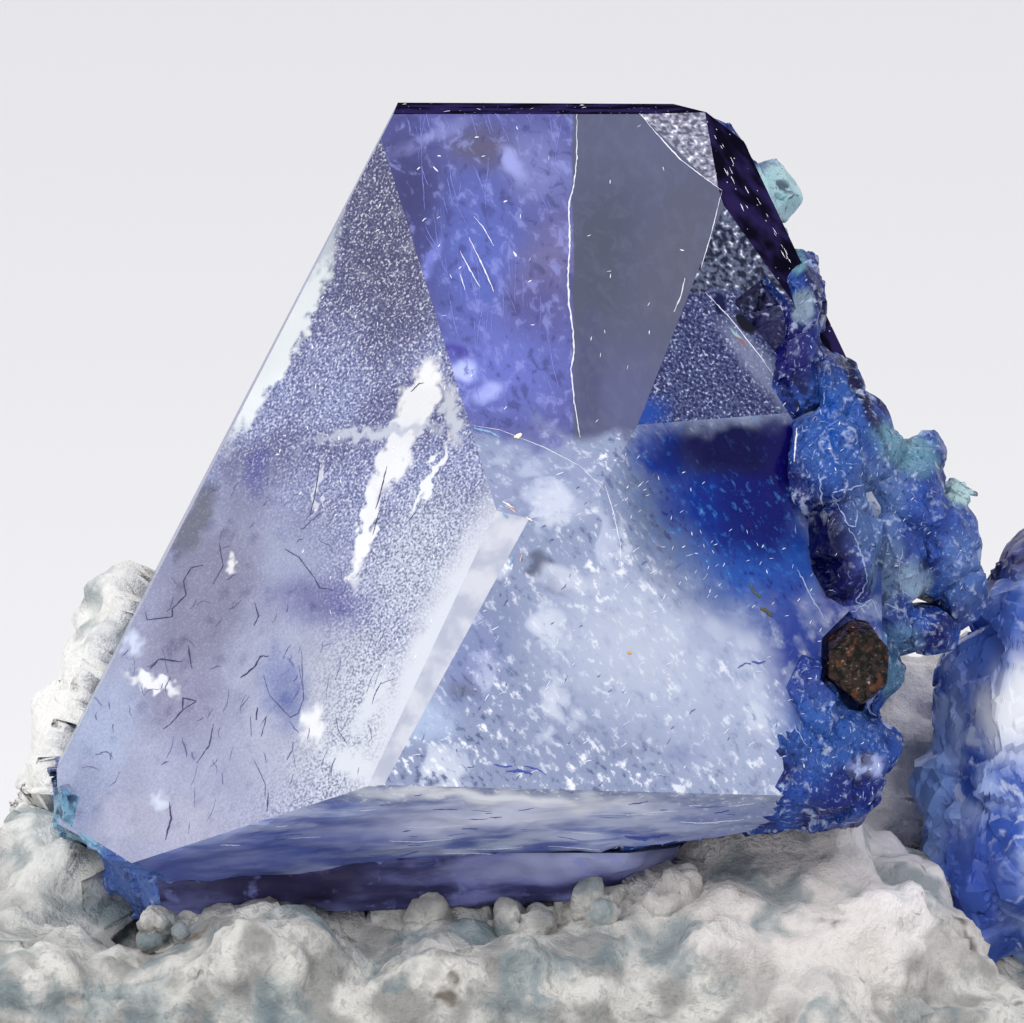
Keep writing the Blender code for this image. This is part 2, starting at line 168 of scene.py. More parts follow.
class Finish:
    """A material, and the short words its nodes are built with."""

    def __init__(self, name: str) -> None:
        """Start a material.

        Args:
            name: The finish's name.
        """
        self.material = bpy.data.materials.new(name)
        self.material.use_nodes = True
        self.tree = self.material.node_tree
        self.shader = self.tree.nodes["Principled BSDF"]
        self.place = self.picture_place()

    def node(self, kind: str, inputs: dict | None = None, **settings) -> bpy.types.Node:
        """Add a node.

        Args:
            kind: The node's type.
            inputs: A value or an output for each input that is set.
            settings: The node's own settings.

        Returns:
            The node.
        """
        made = self.tree.nodes.new(kind)
        for key, value in settings.items():
            setattr(made, key, value)
        for key, value in (inputs or {}).items():
            if isinstance(value, bpy.types.NodeSocket):
                self.tree.links.new(value, made.inputs[key])
            else:
                made.inputs[key].default_value = value
        return made

    def picture_place(self) -> bpy.types.NodeSocket:
        """Give the place in mm: right, back from the middle, and up, in the picture plane."""
        own = self.node("ShaderNodeTexCoord").outputs["Object"]
        turned = self.node(
            "ShaderNodeMapping",
            {"Vector": own, "Rotation": (math.radians(VIEW.tilt_deg), 0.0, 0.0), "Scale": (1000.0,) * 3},
        )
        return turned.outputs["Vector"]

    def noise(self, scale: float, detail: float = 2.0, place=None, rough: float = 0.5) -> bpy.types.NodeSocket:
        """Give a noise with a scale in features a millimetre."""
        made = self.node(
            "ShaderNodeTexNoise",
            {"Vector": place or self.place, "Scale": scale, "Detail": detail, "Roughness": rough},
        )
        return made.outputs["Fac"]

    def cells(self, scale: float, feature: str = "F1", place=None) -> bpy.types.NodeSocket:
        """Give the distance in a cell pattern with a scale in cells a millimetre."""
        made = self.node(
            "ShaderNodeTexVoronoi", {"Vector": place or self.place, "Scale": scale}, feature=feature
        )
        return made.outputs["Distance"]

    def ragged(self, strength: float, scale: float) -> bpy.types.NodeSocket:
        """Give the place, shaken by a noise of a strength in mm."""
        made = self.node(
            "ShaderNodeTexNoise", {"Vector": self.place, "Scale": scale, "Detail": 1.0}
        )
        centred = self.node(
            "ShaderNodeVectorMath", {0: made.outputs["Color"], 1: (0.5, 0.5, 0.5)}, operation="SUBTRACT"
        )
        shaken = self.node(
            "ShaderNodeVectorMath",
            {0: centred.outputs[0], 1: (2 * strength,) * 3, 2: self.place},
            operation="MULTIPLY_ADD",
        )
        return shaken.outputs[0]

    def ramp(self, value, low: float, high: float, start: float = 0.0, end: float = 1.0) -> bpy.types.NodeSocket:
        """Give a smooth step from start at low to end at high."""
        made = self.node(
            "ShaderNodeMapRange",
            {"Value": value, "From Min": low, "From Max": high, "To Min": start, "To Max": end},
            interpolation_type="SMOOTHSTEP",
        )
        return made.outputs["Result"]

    def math(self, operation: str, first, second=0.0) -> bpy.types.NodeSocket:
        """Combine two values."""
        return self.node("ShaderNodeMath", {0: first, 1: second}, operation=operation).outputs[0]

    def stretched(self, scale: tuple[float, float, float], turn_deg: float = 0.0, place=None) -> bpy.types.NodeSocket:
        """Give the place turned in the picture plane, then stretched, for streaks."""
        turned = self.node(
            "ShaderNodeMapping",
            {"Vector": place or self.place, "Rotation": (0.0, math.radians(turn_deg), 0.0)},
        )
        made = self.node("ShaderNodeMapping", {"Vector": turned.outputs[0], "Scale": scale})
        return made.outputs["Vector"]

    def spot(self, pixel: Pixel, radii: Pixel, turn_deg: float = 0.0, soft: float = 0.3, place=None) -> bpy.types.NodeSocket:
        """Mask an oval of the picture plane.

        Args:
            pixel: The oval's middle.
            radii: Its half width and half height in pixels.
            turn_deg: How far it is turned clockwise.
            soft: The share of its radius over which it fades.
            place: The place to read, or the plain one.

        Returns:
            1 inside the oval and 0 outside.
        """
        right, up = VIEW.mm(pixel)
        wide, high = (radius / VIEW.pixels_per_mm for radius in radii)
        local = self.node(
            "ShaderNodeMapping",
            {
                "Vector": place or self.place,
                "Location": (right, 0.0, up),
                "Rotation": (0.0, math.radians(turn_deg), 0.0),
                "Scale": (wide, 1e6, high),
            },
            vector_type="TEXTURE",
        )
        reach = self.node("ShaderNodeVectorMath", {0: local.outputs[0]}, operation="LENGTH")
        return self.ramp(reach.outputs["Value"], 1.0 - soft, 1.0 + soft, 1.0, 0.0)

    def paint(self, under, spots: tuple[Spot, ...], place=None) -> bpy.types.NodeSocket:
        """Lay spots over a colour, the last on top."""
        for item in spots:
            mask = self.spot(item.middle, item.radii, item.turn_deg, item.soft, place)
            under = self.mix(mask, under, item.colour)
        return under

    def ridges(self, scale: float, detail: float = 2.0, place=None) -> bpy.types.NodeSocket:
        """Give sharp-crested ridges, with a scale in features a millimetre."""
        made = self.node(
            "ShaderNodeTexNoise",
            {"Vector": place or self.place, "Scale": scale, "Detail": detail, "Offset": 1.0, "Gain": 2.0},
            noise_type="RIDGED_MULTIFRACTAL",
            normalize=True,
        )
        return made.outputs["Fac"]

    def scaled(self, colour, gain: float) -> bpy.types.NodeSocket:
        """Make a varying colour lighter or darker."""
        return self.node("ShaderNodeVectorMath", {0: colour, "Scale": gain}, operation="SCALE").outputs[0]

    def axis(self, name: str, place=None) -> bpy.types.NodeSocket:
        """Give one axis of the place: X is right, Y is back and Z is up, in mm."""
        parts = self.node("ShaderNodeSeparateXYZ", {0: place or self.place})
        return parts.outputs[name]

    def above(self, row: float, soft: float, place=None) -> bpy.types.NodeSocket:
        """Mask what lies above a row, fading over soft pixels."""
        up = VIEW.mm((0.0, row))[1]
        fade = soft / VIEW.pixels_per_mm
        return self.ramp(self.axis("Z", place), up - fade, up + fade)

    def right_of(self, column: float, soft: float, place=None) -> bpy.types.NodeSocket:
        """Mask what lies right of a column, fading over soft pixels."""
        right = VIEW.mm((column, 0.0))[0]
        fade = soft / VIEW.pixels_per_mm
        return self.ramp(self.axis("X", place), right - fade, right + fade)

    def mix(self, mask, under, over) -> bpy.types.NodeSocket:
        """Lay one colour over another where the mask is 1."""
        made = self.node("ShaderNodeMix", data_type="RGBA")
        for key, value in ((0, mask), (6, under), (7, over)):
            if isinstance(value, bpy.types.NodeSocket):
                self.tree.links.new(value, made.inputs[key])
            elif key == 0:
                made.inputs[key].default_value = value
            else:
                made.inputs[key].default_value = (*value, 1.0)
        return made.outputs[2]

    def colour(self, value) -> None:
        """Set the base colour."""
        self.drive("Base Color", value)

    def drive(self, socket: str, value) -> None:
        """Set one of the shader's inputs to a value or an output."""
        if isinstance(value, bpy.types.NodeSocket):
            self.tree.links.new(value, self.shader.inputs[socket])
        elif socket == "Base Color":
            self.shader.inputs[socket].default_value = (*value, 1.0)
        else:
            self.shader.inputs[socket].default_value = value

    def bump(self, height, depth_mm: float, strength: float = 1.0, under=None) -> bpy.types.NodeSocket:
        """Make a bump from a height between 0 and 1.

        Args:
            height: The height.
            depth_mm: How far the height reaches in mm.
            strength: How much of it shows.
            under: A coarser bump that this one lies on.

        Returns:
            The normal.
        """
        made = self.node("ShaderNodeBump", {"Height": height, "Strength": strength, "Distance": depth_mm * MM})
        if under is not None:
            self.tree.links.new(under, made.inputs["Normal"])
        return made.outputs["Normal"]

    def clear(self, transmission, roughness, absorb: Colour, density: float) -> None:
        """Make the finish see-through, with an even absorption inside."""
        self.drive("Transmission Weight", transmission)
        self.drive("Roughness", roughness)
        self.shader.inputs["IOR"].default_value = BENITOITE_IOR
        self.shader.inputs["Specular IOR Level"].default_value = SOFT_GLOSS
        inside = self.node("ShaderNodeVolumeAbsorption", {"Color": (*absorb, 1.0), "Density": density})
        out = self.tree.nodes["Material Output"]
        self.tree.links.new(inside.outputs[0], out.inputs["Volume"])

    def see_through_dark(self, colour, most: float, least: float = 0.05) -> bpy.types.NodeSocket:
        """Give a transmission that is highest where the colour is dark."""
        grey = self.node("ShaderNodeRGBToBW", {0: colour})
        return self.ramp(grey.outputs[0], 0.04, 0.45, most, least)


BENITOITE_IOR = 1.76
SOFT_GLOSS = 0.04
# Painted shade: the left face's colours are darkened to offset the key lamp, which lights that face most.
LEFT_PAINTED_SHADE_GAIN = 0.80
BENITOITE_TINT: Colour = (0.45, 0.55, 0.95)
TINT_DENSITY = 70.0
WHITE_ICE: Colour = shade(228, 231, 238)
PALE_ICE: Colour = shade(192, 199, 216)
GREY_ICE: Colour = shade(142, 153, 184)
SLATE_ICE: Colour = shade(84, 98, 145)
NAVY: Colour = shade(9, 14, 62)
INDIGO: Colour = shade(26, 22, 98)
COBALT: Colour = shade(4, 42, 128)
AZURE: Colour = shade(54, 108, 178)
TEAL: Colour = shade(120, 160, 176)


def grains(f: Finish, dark: Colour, middle: Colour, light: Colour, scale: float) -> bpy.types.NodeSocket:
    """Colour a frosted, sparkling grain.

    Args:
        f: The finish that it belongs to.
        dark: The colour between the grains.
        middle: The grains' colour.
        light: The glints' colour.
        scale: Grains a millimetre.

    Returns:
        The colour.
    """
    fine = f.noise(scale, 1.0)
    body = f.mix(f.ramp(fine, 0.36, 0.60), dark, middle)
    return f.mix(f.ramp(fine, 0.60, 0.74), body, light)


def ice(f: Finish, edge) -> bpy.types.NodeSocket:
    """Colour the cloudy ice: pale veils, slanting flecks and bright glints."""
    slant = f.stretched((1.0, 1.0, 0.6), 38)
    veils = f.ridges(0.9, 4.0, edge)
    colour = f.mix(f.ramp(veils, 0.20, 0.75), PALE_ICE, GREY_ICE)
    flecks = f.noise(7.5, 4.0, slant, 0.62)
    patchy = f.ramp(f.noise(0.9, 2.0, edge), 0.40, 0.60, 0.45, 1.0)
    dark = f.math("MULTIPLY", f.ramp(flecks, 0.54, 0.70, 0.0, 0.85), patchy)
    colour = f.mix(dark, colour, SLATE_ICE)
    return f.mix(f.math("MULTIPLY", f.ramp(flecks, 0.46, 0.32), patchy), colour, WHITE_ICE)


ICY_SPOTS = (
    Spot((548, 470), (62, 30), shade(144, 154, 188), 24, 0.5),
    Spot((505, 505), (30, 26), shade(142, 150, 186), 30, 0.6),
    Spot((565, 505), (26, 16), shade(188, 194, 214), 30, 0.6),
    Spot((541, 566), (13, 8), shade(34, 36, 56), 10, 0.4),
    Spot((562, 588), (16, 6), shade(120, 122, 140), 14, 0.6),
    Spot((572, 580), (30, 10), shade(226, 229, 238), 10, 0.6),
    Spot((606, 540), (7, 44), shade(216, 222, 240), -10, 0.5),
    Spot((500, 625), (22, 42), shade(128, 140, 172), -20, 0.7),
    Spot((470, 660), (30, 50), shade(122, 133, 190), 30, 0.8),
    Spot((462, 690), (14, 9), shade(92, 98, 134), 0, 0.7),
    Spot((588, 684), (22, 9), shade(150, 156, 178), 0, 0.8),
    Spot((424, 716), (26, 22), shade(186, 204, 232), 10, 0.7),
    Spot((616, 748), (18, 12), shade(134, 144, 176), 0, 0.7),
    Spot((662, 700), (7, 30), shade(118, 136, 178), 0, 0.7),
    Spot((684, 752), (18, 8), shade(94, 108, 172), -10, 0.7),
    Spot((735, 715), (12, 40), shade(126, 144, 182), 8, 0.8),
    # Painted shade: a greyer band along the edge to the lower right face, blending the two faces' light.
    Spot((700, 690), (60, 120), shade(176, 184, 206), -38, 0.9),
    Spot((640, 640), (80, 60), shade(206, 211, 224), 0, 0.9),
)


def icy_front(f: Finish, edge) -> bpy.types.NodeSocket:
    """Colour the icy front as seen through the front and centre faces."""
    flecks = ice(f, edge)
    broad = f.paint(flecks, ICY_SPOTS, edge)
    return f.mix(0.5, broad, flecks)


DEEP_SPOTS = (
    # Painted light: lighter ice on the lower right face, which gets less light than the front.
    Spot((735, 640), (130, 90), shade(176, 184, 206), -20, 0.8),
    Spot((655, 510), (38, 74), shade(84, 98, 132), -20, 0.8),
    Spot((725, 560), (70, 50), shade(84, 100, 138), 30, 0.8),
    Spot((770, 560), (70, 60), shade(32, 74, 158), 20, 0.6),
    Spot((720, 500), (60, 45), COBALT, 20, 0.5),
    Spot((662, 452), (34, 26), COBALT, 30, 0.5),
    Spot((762, 500), (45, 55), shade(4, 16, 96), 0, 0.5),
    Spot((735, 448), (68, 30), shade(3, 4, 62), 0, 0.5),
    Spot((790, 450), (26, 40), shade(12, 8, 80), 0, 0.4),
    Spot((800, 650), (34, 70), shade(44, 62, 140), -14, 0.6),
    Spot((830, 735), (50, 40), shade(46, 84, 160), 30, 0.6),
    Spot((850, 790), (40, 22), shade(16, 34, 110), -10, 0.5),
    Spot((868, 765), (16, 10), shade(150, 160, 205), -20, 0.5),
    Spot((880, 600), (22, 50), shade(40, 64, 132), 0, 0.5),
    Spot((838, 610), (20, 26), shade(46, 58, 136), 0, 0.5),
)

GROWTH_SPOTS = (
    Spot((782, 340), (34, 56), shade(24, 22, 96), -30, 0.5),
    Spot((833, 430), (34, 60), shade(44, 84, 160), 0, 0.5),
    Spot((832, 430), (8, 34), shade(18, 78, 168), 0, 0.3),
    # Painted shade: the dark pocket in the growths.
    Spot((820, 560), (26, 50), shade(4, 6, 48), 0, 0.35),
    Spot((846, 506), (9, 12), shade(16, 28, 96), 0, 0.3),
    Spot((852, 570), (14, 34), shade(38, 36, 120), -8, 0.4),
    Spot((882, 500), (30, 60), shade(76, 104, 160), 14, 0.6),
    Spot((886, 575), (16, 34), shade(88, 112, 150), 6, 0.4),
    Spot((915, 580), (16, 20), shade(134, 158, 184), 0, 0.4),
    Spot((940, 530), (34, 40), shade(48, 78, 160), 0, 0.6),
    Spot((965, 570), (22, 40), shade(74, 104, 168), 0, 0.6),
    Spot((900, 640), (20, 16), shade(86, 122, 166), 0, 0.4),
    Spot((896, 680), (14, 30), shade(70, 108, 140), 0, 0.4),
    Spot((782, 195), (34, 36), shade(160, 196, 204), 0, 0.25),
    Spot((797, 262), (12, 14), shade(96, 140, 160), 0, 0.3),
    Spot((803, 305), (12, 16), shade(120, 140, 160), 0, 0.3),
    Spot((906, 448), (34, 20), shade(96, 140, 164), 30, 0.4),
    Spot((962, 490), (16, 18), shade(170, 200, 204), 0, 0.25),
    Spot((848, 362), (6, 92), shade(14, 12, 62), -24, 0.5),
    Spot((75, 822), (34, 40), shade(120, 164, 190), 0, 0.5),
    Spot((128, 885), (50, 26), shade(92, 124, 200), 20, 0.6),
)


def blue_right(f: Finish, edge) -> bpy.types.NodeSocket:
    """Colour the deep blue right side, as it fades into the ice."""
    frost = ice(f, edge)
    broad = f.paint(frost, DEEP_SPOTS, edge)
    fine = f.noise(8.5, 5.0, f.stretched((1.0, 1.0, 0.7), 30), 0.65)
    deep = f.spot((765, 500), (150, 105), 24, 0.3, edge)
    lit = f.mix(f.ramp(fine, 0.54, 0.68, 0.0, 0.6), broad, AZURE)
    lit = f.mix(f.ramp(fine, 0.68, 0.76, 0.0, 0.8), lit, shade(150, 190, 226))
    lit = f.mix(f.ramp(fine, 0.46, 0.34), lit, f.mix(0.75, broad, INDIGO))
    lit = f.mix(f.math("MULTIPLY", f.spot((742, 448), (75, 30), 0, 0.4, edge), 0.85), lit, broad)
    rest = f.mix(f.ramp(f.noise(2.2, 3.0), 0.42, 0.60), broad, frost)
    return f.mix(deep, f.mix(0.35, rest, broad), lit)


SIDE_TURN_DEG = 34.2
SIDE_START = 7.1
SIDE_END = 8.3


def lower_front(f: Finish, edge) -> tuple[bpy.types.NodeSocket, bpy.types.NodeSocket]:
    """Colour the lower front: icy at the left, deep blue at the right, with no line between.

    Args:
        f: The finish that it belongs to.
        edge: The shaken place.

    Returns:
        The colour, and a mask that is 1 on the blue side.
    """
    across = f.axis("X", f.stretched((1.0, 1.0, 1.0), SIDE_TURN_DEG, edge))
    side = f.ramp(across, SIDE_START, SIDE_END)
    return f.mix(side, icy_front(f, edge), blue_right(f, edge)), side


LEFT_SPOTS = (
    Spot((180, 745), (150, 120), shade(188, 192, 222), 0, 0.8),
    Spot((345, 720), (80, 80), shade(206, 212, 228), 30, 0.7),
    Spot((420, 560), (40, 70), shade(196, 204, 224), 25, 0.7),
    Spot((240, 542), (62, 22), shade(186, 198, 228), 20, 0.7),
    Spot((205, 600), (46, 100), shade(142, 140, 172), 24, 0.5),
    Spot((196, 520), (13, 40), shade(104, 106, 122), 24, 0.4),
    Spot((256, 470), (12, 24), shade(104, 108, 176), 10, 0.6),
    Spot((285, 690), (20, 38), shade(132, 146, 204), -10, 0.7),
    Spot((320, 600), (42, 22), shade(124, 126, 186), 10, 0.7),
    Spot((182, 700), (46, 40), shade(158, 156, 188), 20, 0.6),
    Spot((165, 820), (60, 26), shade(202, 202, 226), 0, 0.7),
    Spot((100, 730), (34, 60), shade(184, 198, 232), 24, 0.6),
    Spot((84, 800), (18, 46), shade(160, 170, 206), 10, 0.5),
)

# White frost patches and bright spots, with one painted glint among them.
LEFT_WHITES_AND_GLINTS = (
    Spot((280, 345), (15, 108), shade(238, 244, 246), 28, 0.25),
    Spot((318, 245), (11, 46), shade(198, 206, 216), 28, 0.5),
    Spot((418, 402), (17, 44), shade(250, 250, 252), 22, 0.25),
    Spot((396, 452), (15, 44), shade(246, 247, 252), 24, 0.3),
    Spot((366, 530), (8, 56), shade(248, 249, 253), 13, 0.3),
    Spot((430, 482), (4, 42), shade(244, 246, 252), 26, 0.3),
    Spot((380, 432), (58, 6), shade(206, 212, 228), -6, 0.6),
    Spot((452, 415), (8, 30), shade(208, 211, 224), -10, 0.5),
    Spot((318, 486), (3, 30), shade(214, 218, 232), 13, 0.4),
    # Painted glint: a bright white highlight.
    Spot((153, 683), (26, 7), shade(246, 247, 252), 16, 0.4),
    Spot((132, 642), (9, 12), shade(214, 224, 248), 10, 0.7),
    Spot((314, 725), (12, 18), shade(244, 245, 250), 0, 0.5),
    Spot((232, 563), (6, 6), shade(246, 246, 250), 0, 0.5),
    Spot((161, 801), (8, 9), shade(216, 224, 244), 0, 0.7),
    Spot((352, 762), (26, 14), shade(226, 230, 240), 20, 0.5),
    Spot((372, 700), (10, 40), shade(224, 228, 238), 24, 0.6),
)


def left_face_finish() -> Finish:
    """Make the frosted grey-lavender left face: white patches, an etched foot, painted glints and painted shade."""
    f = Finish("frosted_left_face")
    edge = f.ragged(0.16, 3.0)
    grain = f.noise(24.0, 1.0)
    broad = f.mix(f.ramp(f.noise(0.7, 3.0), 0.38, 0.62), shade(124, 127, 170), shade(152, 160, 202))
    broad = f.mix(f.above(560, 170, edge), shade(172, 178, 208), broad)
    broad = f.mix(f.spot((385, 230), (60, 110), 0, 0.7, edge), broad, shade(104, 104, 138))
    broad = f.paint(broad, LEFT_SPOTS, edge)
    dark = f.mix(0.62, broad, shade(52, 56, 104))
    # Painted glints: the light flecks of the frosted grain stand for sparkle.
    light = f.mix(0.80, broad, shade(236, 238, 250))
    frost = f.mix(f.ramp(grain, 0.52, 0.37), broad, dark)
    frost = f.mix(f.ramp(grain, 0.55, 0.70), frost, light)
    etched = f.math("MULTIPLY", f.spot((165, 680), (160, 230), 24, 0.25, edge), 0.72)
    colour = f.mix(etched, frost, broad)
    colour = f.mix(f.ramp(f.noise(4.0, 5.0, rough=0.65), 0.54, 0.74, 0.0, 0.5), colour, f.mix(0.5, broad, shade(226, 232, 248)))
    worn = f.math("MULTIPLY", f.ramp(f.noise(1.6, 5.0, edge, 0.6), 0.36, 0.64, 0.65, 1.0), f.math("MULTIPLY", etched, 0.7))
    colour = f.mix(worn, colour, f.mix(0.65, broad, shade(44, 46, 92)))
    # Painted shading: the hammered dents of the etched foot are painted lighter towards their rims.
    painted_dent_shading = f.ramp(f.cells(2.6, place=edge), 0.10, 0.42)
    colour = f.mix(f.math("MULTIPLY", painted_dent_shading, f.math("MULTIPLY", etched, 0.22)), colour, shade(214, 218, 240))
    colour = f.mix(f.spot((436, 640), (22, 165), 25, 0.7, edge), colour, shade(226, 229, 240))
    # Lay the white patches and the painted glint.
    colour = f.paint(colour, LEFT_WHITES_AND_GLINTS, f.ragged(0.22, 5.0))
    # Painted shade: darken the whole left face against the strong key lamp on it.
    colour = f.scaled(colour, LEFT_PAINTED_SHADE_GAIN)
    f.colour(colour)
    f.clear(f.see_through_dark(broad, 0.25), 0.34, BENITOITE_TINT, TINT_DENSITY)
    f.drive("Normal", f.bump(grain, 0.02, 0.4))
    return f


CENTRE_SPOTS = (
    Spot((420, 215), (34, 90), shade(66, 66, 128), -18, 0.7),
    Spot((478, 262), (44, 80), shade(98, 112, 198), 0, 0.8),
    Spot((545, 275), (28, 60), shade(118, 114, 166), 24, 0.8),
    Spot((535, 320), (24, 40), shade(94, 92, 162), 10, 0.8),
    Spot((500, 370), (60, 44), shade(110, 120, 206), 0, 0.8),
    Spot((538, 166), (38, 30), shade(122, 128, 188), 40, 0.6),
    Spot((480, 146), (28, 18), shade(102, 98, 134), 0, 0.8),
    Spot((434, 134), (36, 6), shade(126, 130, 188), -24, 0.7),
    Spot((512, 162), (7, 20), shade(150, 156, 212), -35, 0.7),
    Spot((462, 370), (12, 10), shade(172, 182, 236), 0, 0.6),
    Spot((487, 392), (14, 9), shade(158, 168, 226), -20, 0.7),
    Spot((450, 350), (22, 6), shade(84, 80, 186), 10, 0.6),
    Spot((432, 258), (6, 22), shade(120, 128, 208), 24, 0.7),
)

# Painted reflection: the blue-grey right of the crack stands for a grey reflection on that part of the face.
GREY_REFLECTION_SPOTS = (
    Spot((640, 150), (60, 40), shade(100, 104, 136), 0, 0.9),
    Spot((600, 250), (30, 70), shade(84, 90, 114), 10, 0.9),
    Spot((680, 250), (34, 80), shade(98, 100, 124), 20, 0.9),
    Spot((625, 400), (44, 50), shade(98, 102, 146), 0, 0.9),
    Spot((590, 380), (12, 60), shade(86, 88, 130), 0, 0.8),
)


def centre_face_finish() -> Finish:
    """Make the glossy blue-violet centre face, with a painted grey reflection right of the crack, and icy below."""
    f = Finish("glossy_centre_face")
    edge = f.ragged(0.14, 2.4)
    plume = f.noise(2.6, 5.0, f.stretched((2.0, 2.0, 0.36), 10, edge), 0.6)
    violet = f.paint(shade(98, 102, 172), CENTRE_SPOTS, edge)
    violet = f.mix(f.ramp(plume, 0.52, 0.66, 0.0, 0.5), violet, shade(150, 156, 220))
    violet = f.mix(f.ramp(plume, 0.46, 0.34, 0.0, 0.5), violet, shade(62, 62, 132))
    # Painted reflection: grey colour for the reflecting part right of the crack.
    painted_grey_reflection = f.paint(shade(92, 97, 126), GREY_REFLECTION_SPOTS, edge)
    painted_grey_reflection = f.mix(f.ramp(plume, 0.45, 0.65, 0.0, 0.3), painted_grey_reflection, shade(112, 116, 146))
    colour = f.mix(f.right_of(573, 1.2, f.ragged(0.05, 1.2)), violet, painted_grey_reflection)
    low = f.above(436, 16, f.ragged(0.55, 2.0))
    colour = f.mix(low, icy_front(f, edge), colour)
    f.colour(colour)
    f.clear(f.see_through_dark(colour, 0.45), 0.08, BENITOITE_TINT, TINT_DENSITY)
    return f


def front_face_finish() -> Finish:
    """Make the icy front face, cloudy white with fine veils."""
    f = Finish("icy_front_face")
    colour, side = lower_front(f, f.ragged(0.25, 2.2))
    f.colour(colour)
    depth = f.math("MULTIPLY", f.see_through_dark(colour, 0.45), f.ramp(side, 0.0, 1.0, 1.0, 0.15))
    f.clear(depth, 0.12, BENITOITE_TINT, TINT_DENSITY)
    return f


def lower_right_finish() -> Finish:
    """Make the lower right face: deep blue at its upper edge, fading to icy white."""
    f = Finish("blue_lower_right_face")
    colour, side = lower_front(f, f.ragged(0.25, 2.2))
    f.colour(colour)
    depth = f.math("MULTIPLY", f.see_through_dark(colour, 0.45), f.ramp(side, 0.0, 1.0, 1.0, 0.15))
    f.clear(depth, 0.12, BENITOITE_TINT, TINT_DENSITY)
    return f


def frosted_triangle_finish() -> Finish:
    """Make the dark frosted triangle on the upper right face, granular above it."""
    f = Finish("frosted_triangle")
    edge = f.ragged(0.10, 3.0)
    sand = grains(f, shade(34, 38, 80), shade(76, 84, 126), shade(176, 182, 208), 20.0)
    pale = f.math("MULTIPLY", f.spot((765, 372), (12, 60), -40, 0.6, edge), 0.5)
    sand = f.mix(pale, sand, shade(146, 154, 184))
    coarse = grains(f, shade(26, 30, 52), shade(92, 100, 126), shade(214, 218, 230), 10.0)
    colour = f.mix(f.above(292, 5, edge), sand, coarse)
    colour = f.paint(
        colour,
        (
            Spot((648, 415), (18, 14), shade(30, 66, 150), -30, 0.9),
            # Painted shade: two dark spots stand for small shaded holes in a crevice.
            Spot((719, 304), (6, 9), NAVY, 0, 0.3),
            Spot((746, 322), (13, 9), shade(8, 10, 30), 40, 0.3),
            # Painted glint: a thin reddish line and a thin pale line.
            Spot((741, 342), (1.3, 9), shade(134, 98, 104), -48, 0.6),
            Spot((735, 334), (1.0, 8), shade(150, 180, 182), -48, 0.6),
        ),
        edge,
    )
    f.colour(colour)
    f.clear(0.08, 0.38, BENITOITE_TINT, TINT_DENSITY)
    return f


def granular_finish() -> Finish:
    """Make the rough granular ledge beside the frosted triangle."""
    f = Finish("granular_ledge")
    colour = grains(f, shade(14, 14, 36), shade(52, 54, 98), shade(170, 176, 206), 9.0)
    f.colour(f.mix(f.above(318, 8), shade(22, 22, 70), colour))
    f.clear(0.10, 0.30, BENITOITE_TINT, TINT_DENSITY)
    f.drive("Normal", f.bump(f.noise(9.0, 1.0), 0.06, 0.7))
    return f


def chip_finish() -> Finish:
    """Make the pale broken corner."""
    f = Finish("chipped_corner")
    f.colour(grains(f, shade(74, 76, 98), shade(150, 150, 172), shade(236, 236, 244), 11.0))
    f.drive("Roughness", 0.5)
    f.drive("Normal", f.bump(f.noise(8.0, 2.0), 0.10, 0.9))
    return f


def dark_face_finish(name: str) -> Finish:
    """Make the near-black purple of the top and of the dark right face, with painted white glints."""
    f = Finish(name)
    body = f.mix(f.ramp(f.noise(1.6, 2.0), 0.4, 0.6), shade(14, 12, 26), shade(40, 32, 74))
    # Painted glints: small white cell dots stand for sparkle on the dark faces.
    f.colour(f.mix(f.ramp(f.cells(6.0), 0.10, 0.05), body, shade(214, 216, 232)))
    f.drive("Roughness", 0.45)
    f.shader.inputs["Specular IOR Level"].default_value = 0.0
    return f


def bevel_finish() -> Finish:
    """Make the narrow cream bevel between the left and front faces."""
    f = Finish("cream_bevel")
    f.colour(f.mix(f.ramp(f.noise(2.4, 3.0), 0.35, 0.65), shade(168, 172, 190), shade(196, 198, 208)))
    f.clear(0.05, 0.2, BENITOITE_TINT, TINT_DENSITY)
    return f


def under_finish() -> Finish:
    """Make the violet face under the front, with level blue dashes, painted lighter against the shade of a face that
    looks down.
    """
    f = Finish("striated_under_face")
    lines = f.noise(1.0, 4.0, f.stretched((0.9, 0.9, 6.5), 3))
    edge = f.ragged(0.25, 1.6)
    # Painted light: these colours are lighter to offset the shade on this downward face.
    colour = f.mix(f.ramp(lines, 0.36, 0.64), shade(96, 110, 172), shade(184, 193, 222))
    left = f.spot((250, 858), (190, 26), -10, 0.6, edge)
    colour = f.mix(f.math("MULTIPLY", left, 0.75), colour, shade(84, 98, 168))
    colour = f.mix(f.spot((500, 815), (110, 14), -6, 0.8, edge), colour, shade(214, 218, 240))
    icy, _ = lower_front(f, edge)
    colour = f.mix(f.right_of(690, 90, edge), colour, f.mix(0.35, icy, shade(70, 84, 150)))
    colour = f.mix(f.above(802, 9, edge), colour, icy)
    f.colour(f.mix(f.spot((500, 796), (130, 7), 4, 0.8, edge), colour, shade(236, 238, 246)))
    f.clear(0.12, 0.18, BENITOITE_TINT, TINT_DENSITY)
    f.drive("Normal", f.bump(lines, 0.05, 0.4))
    return f


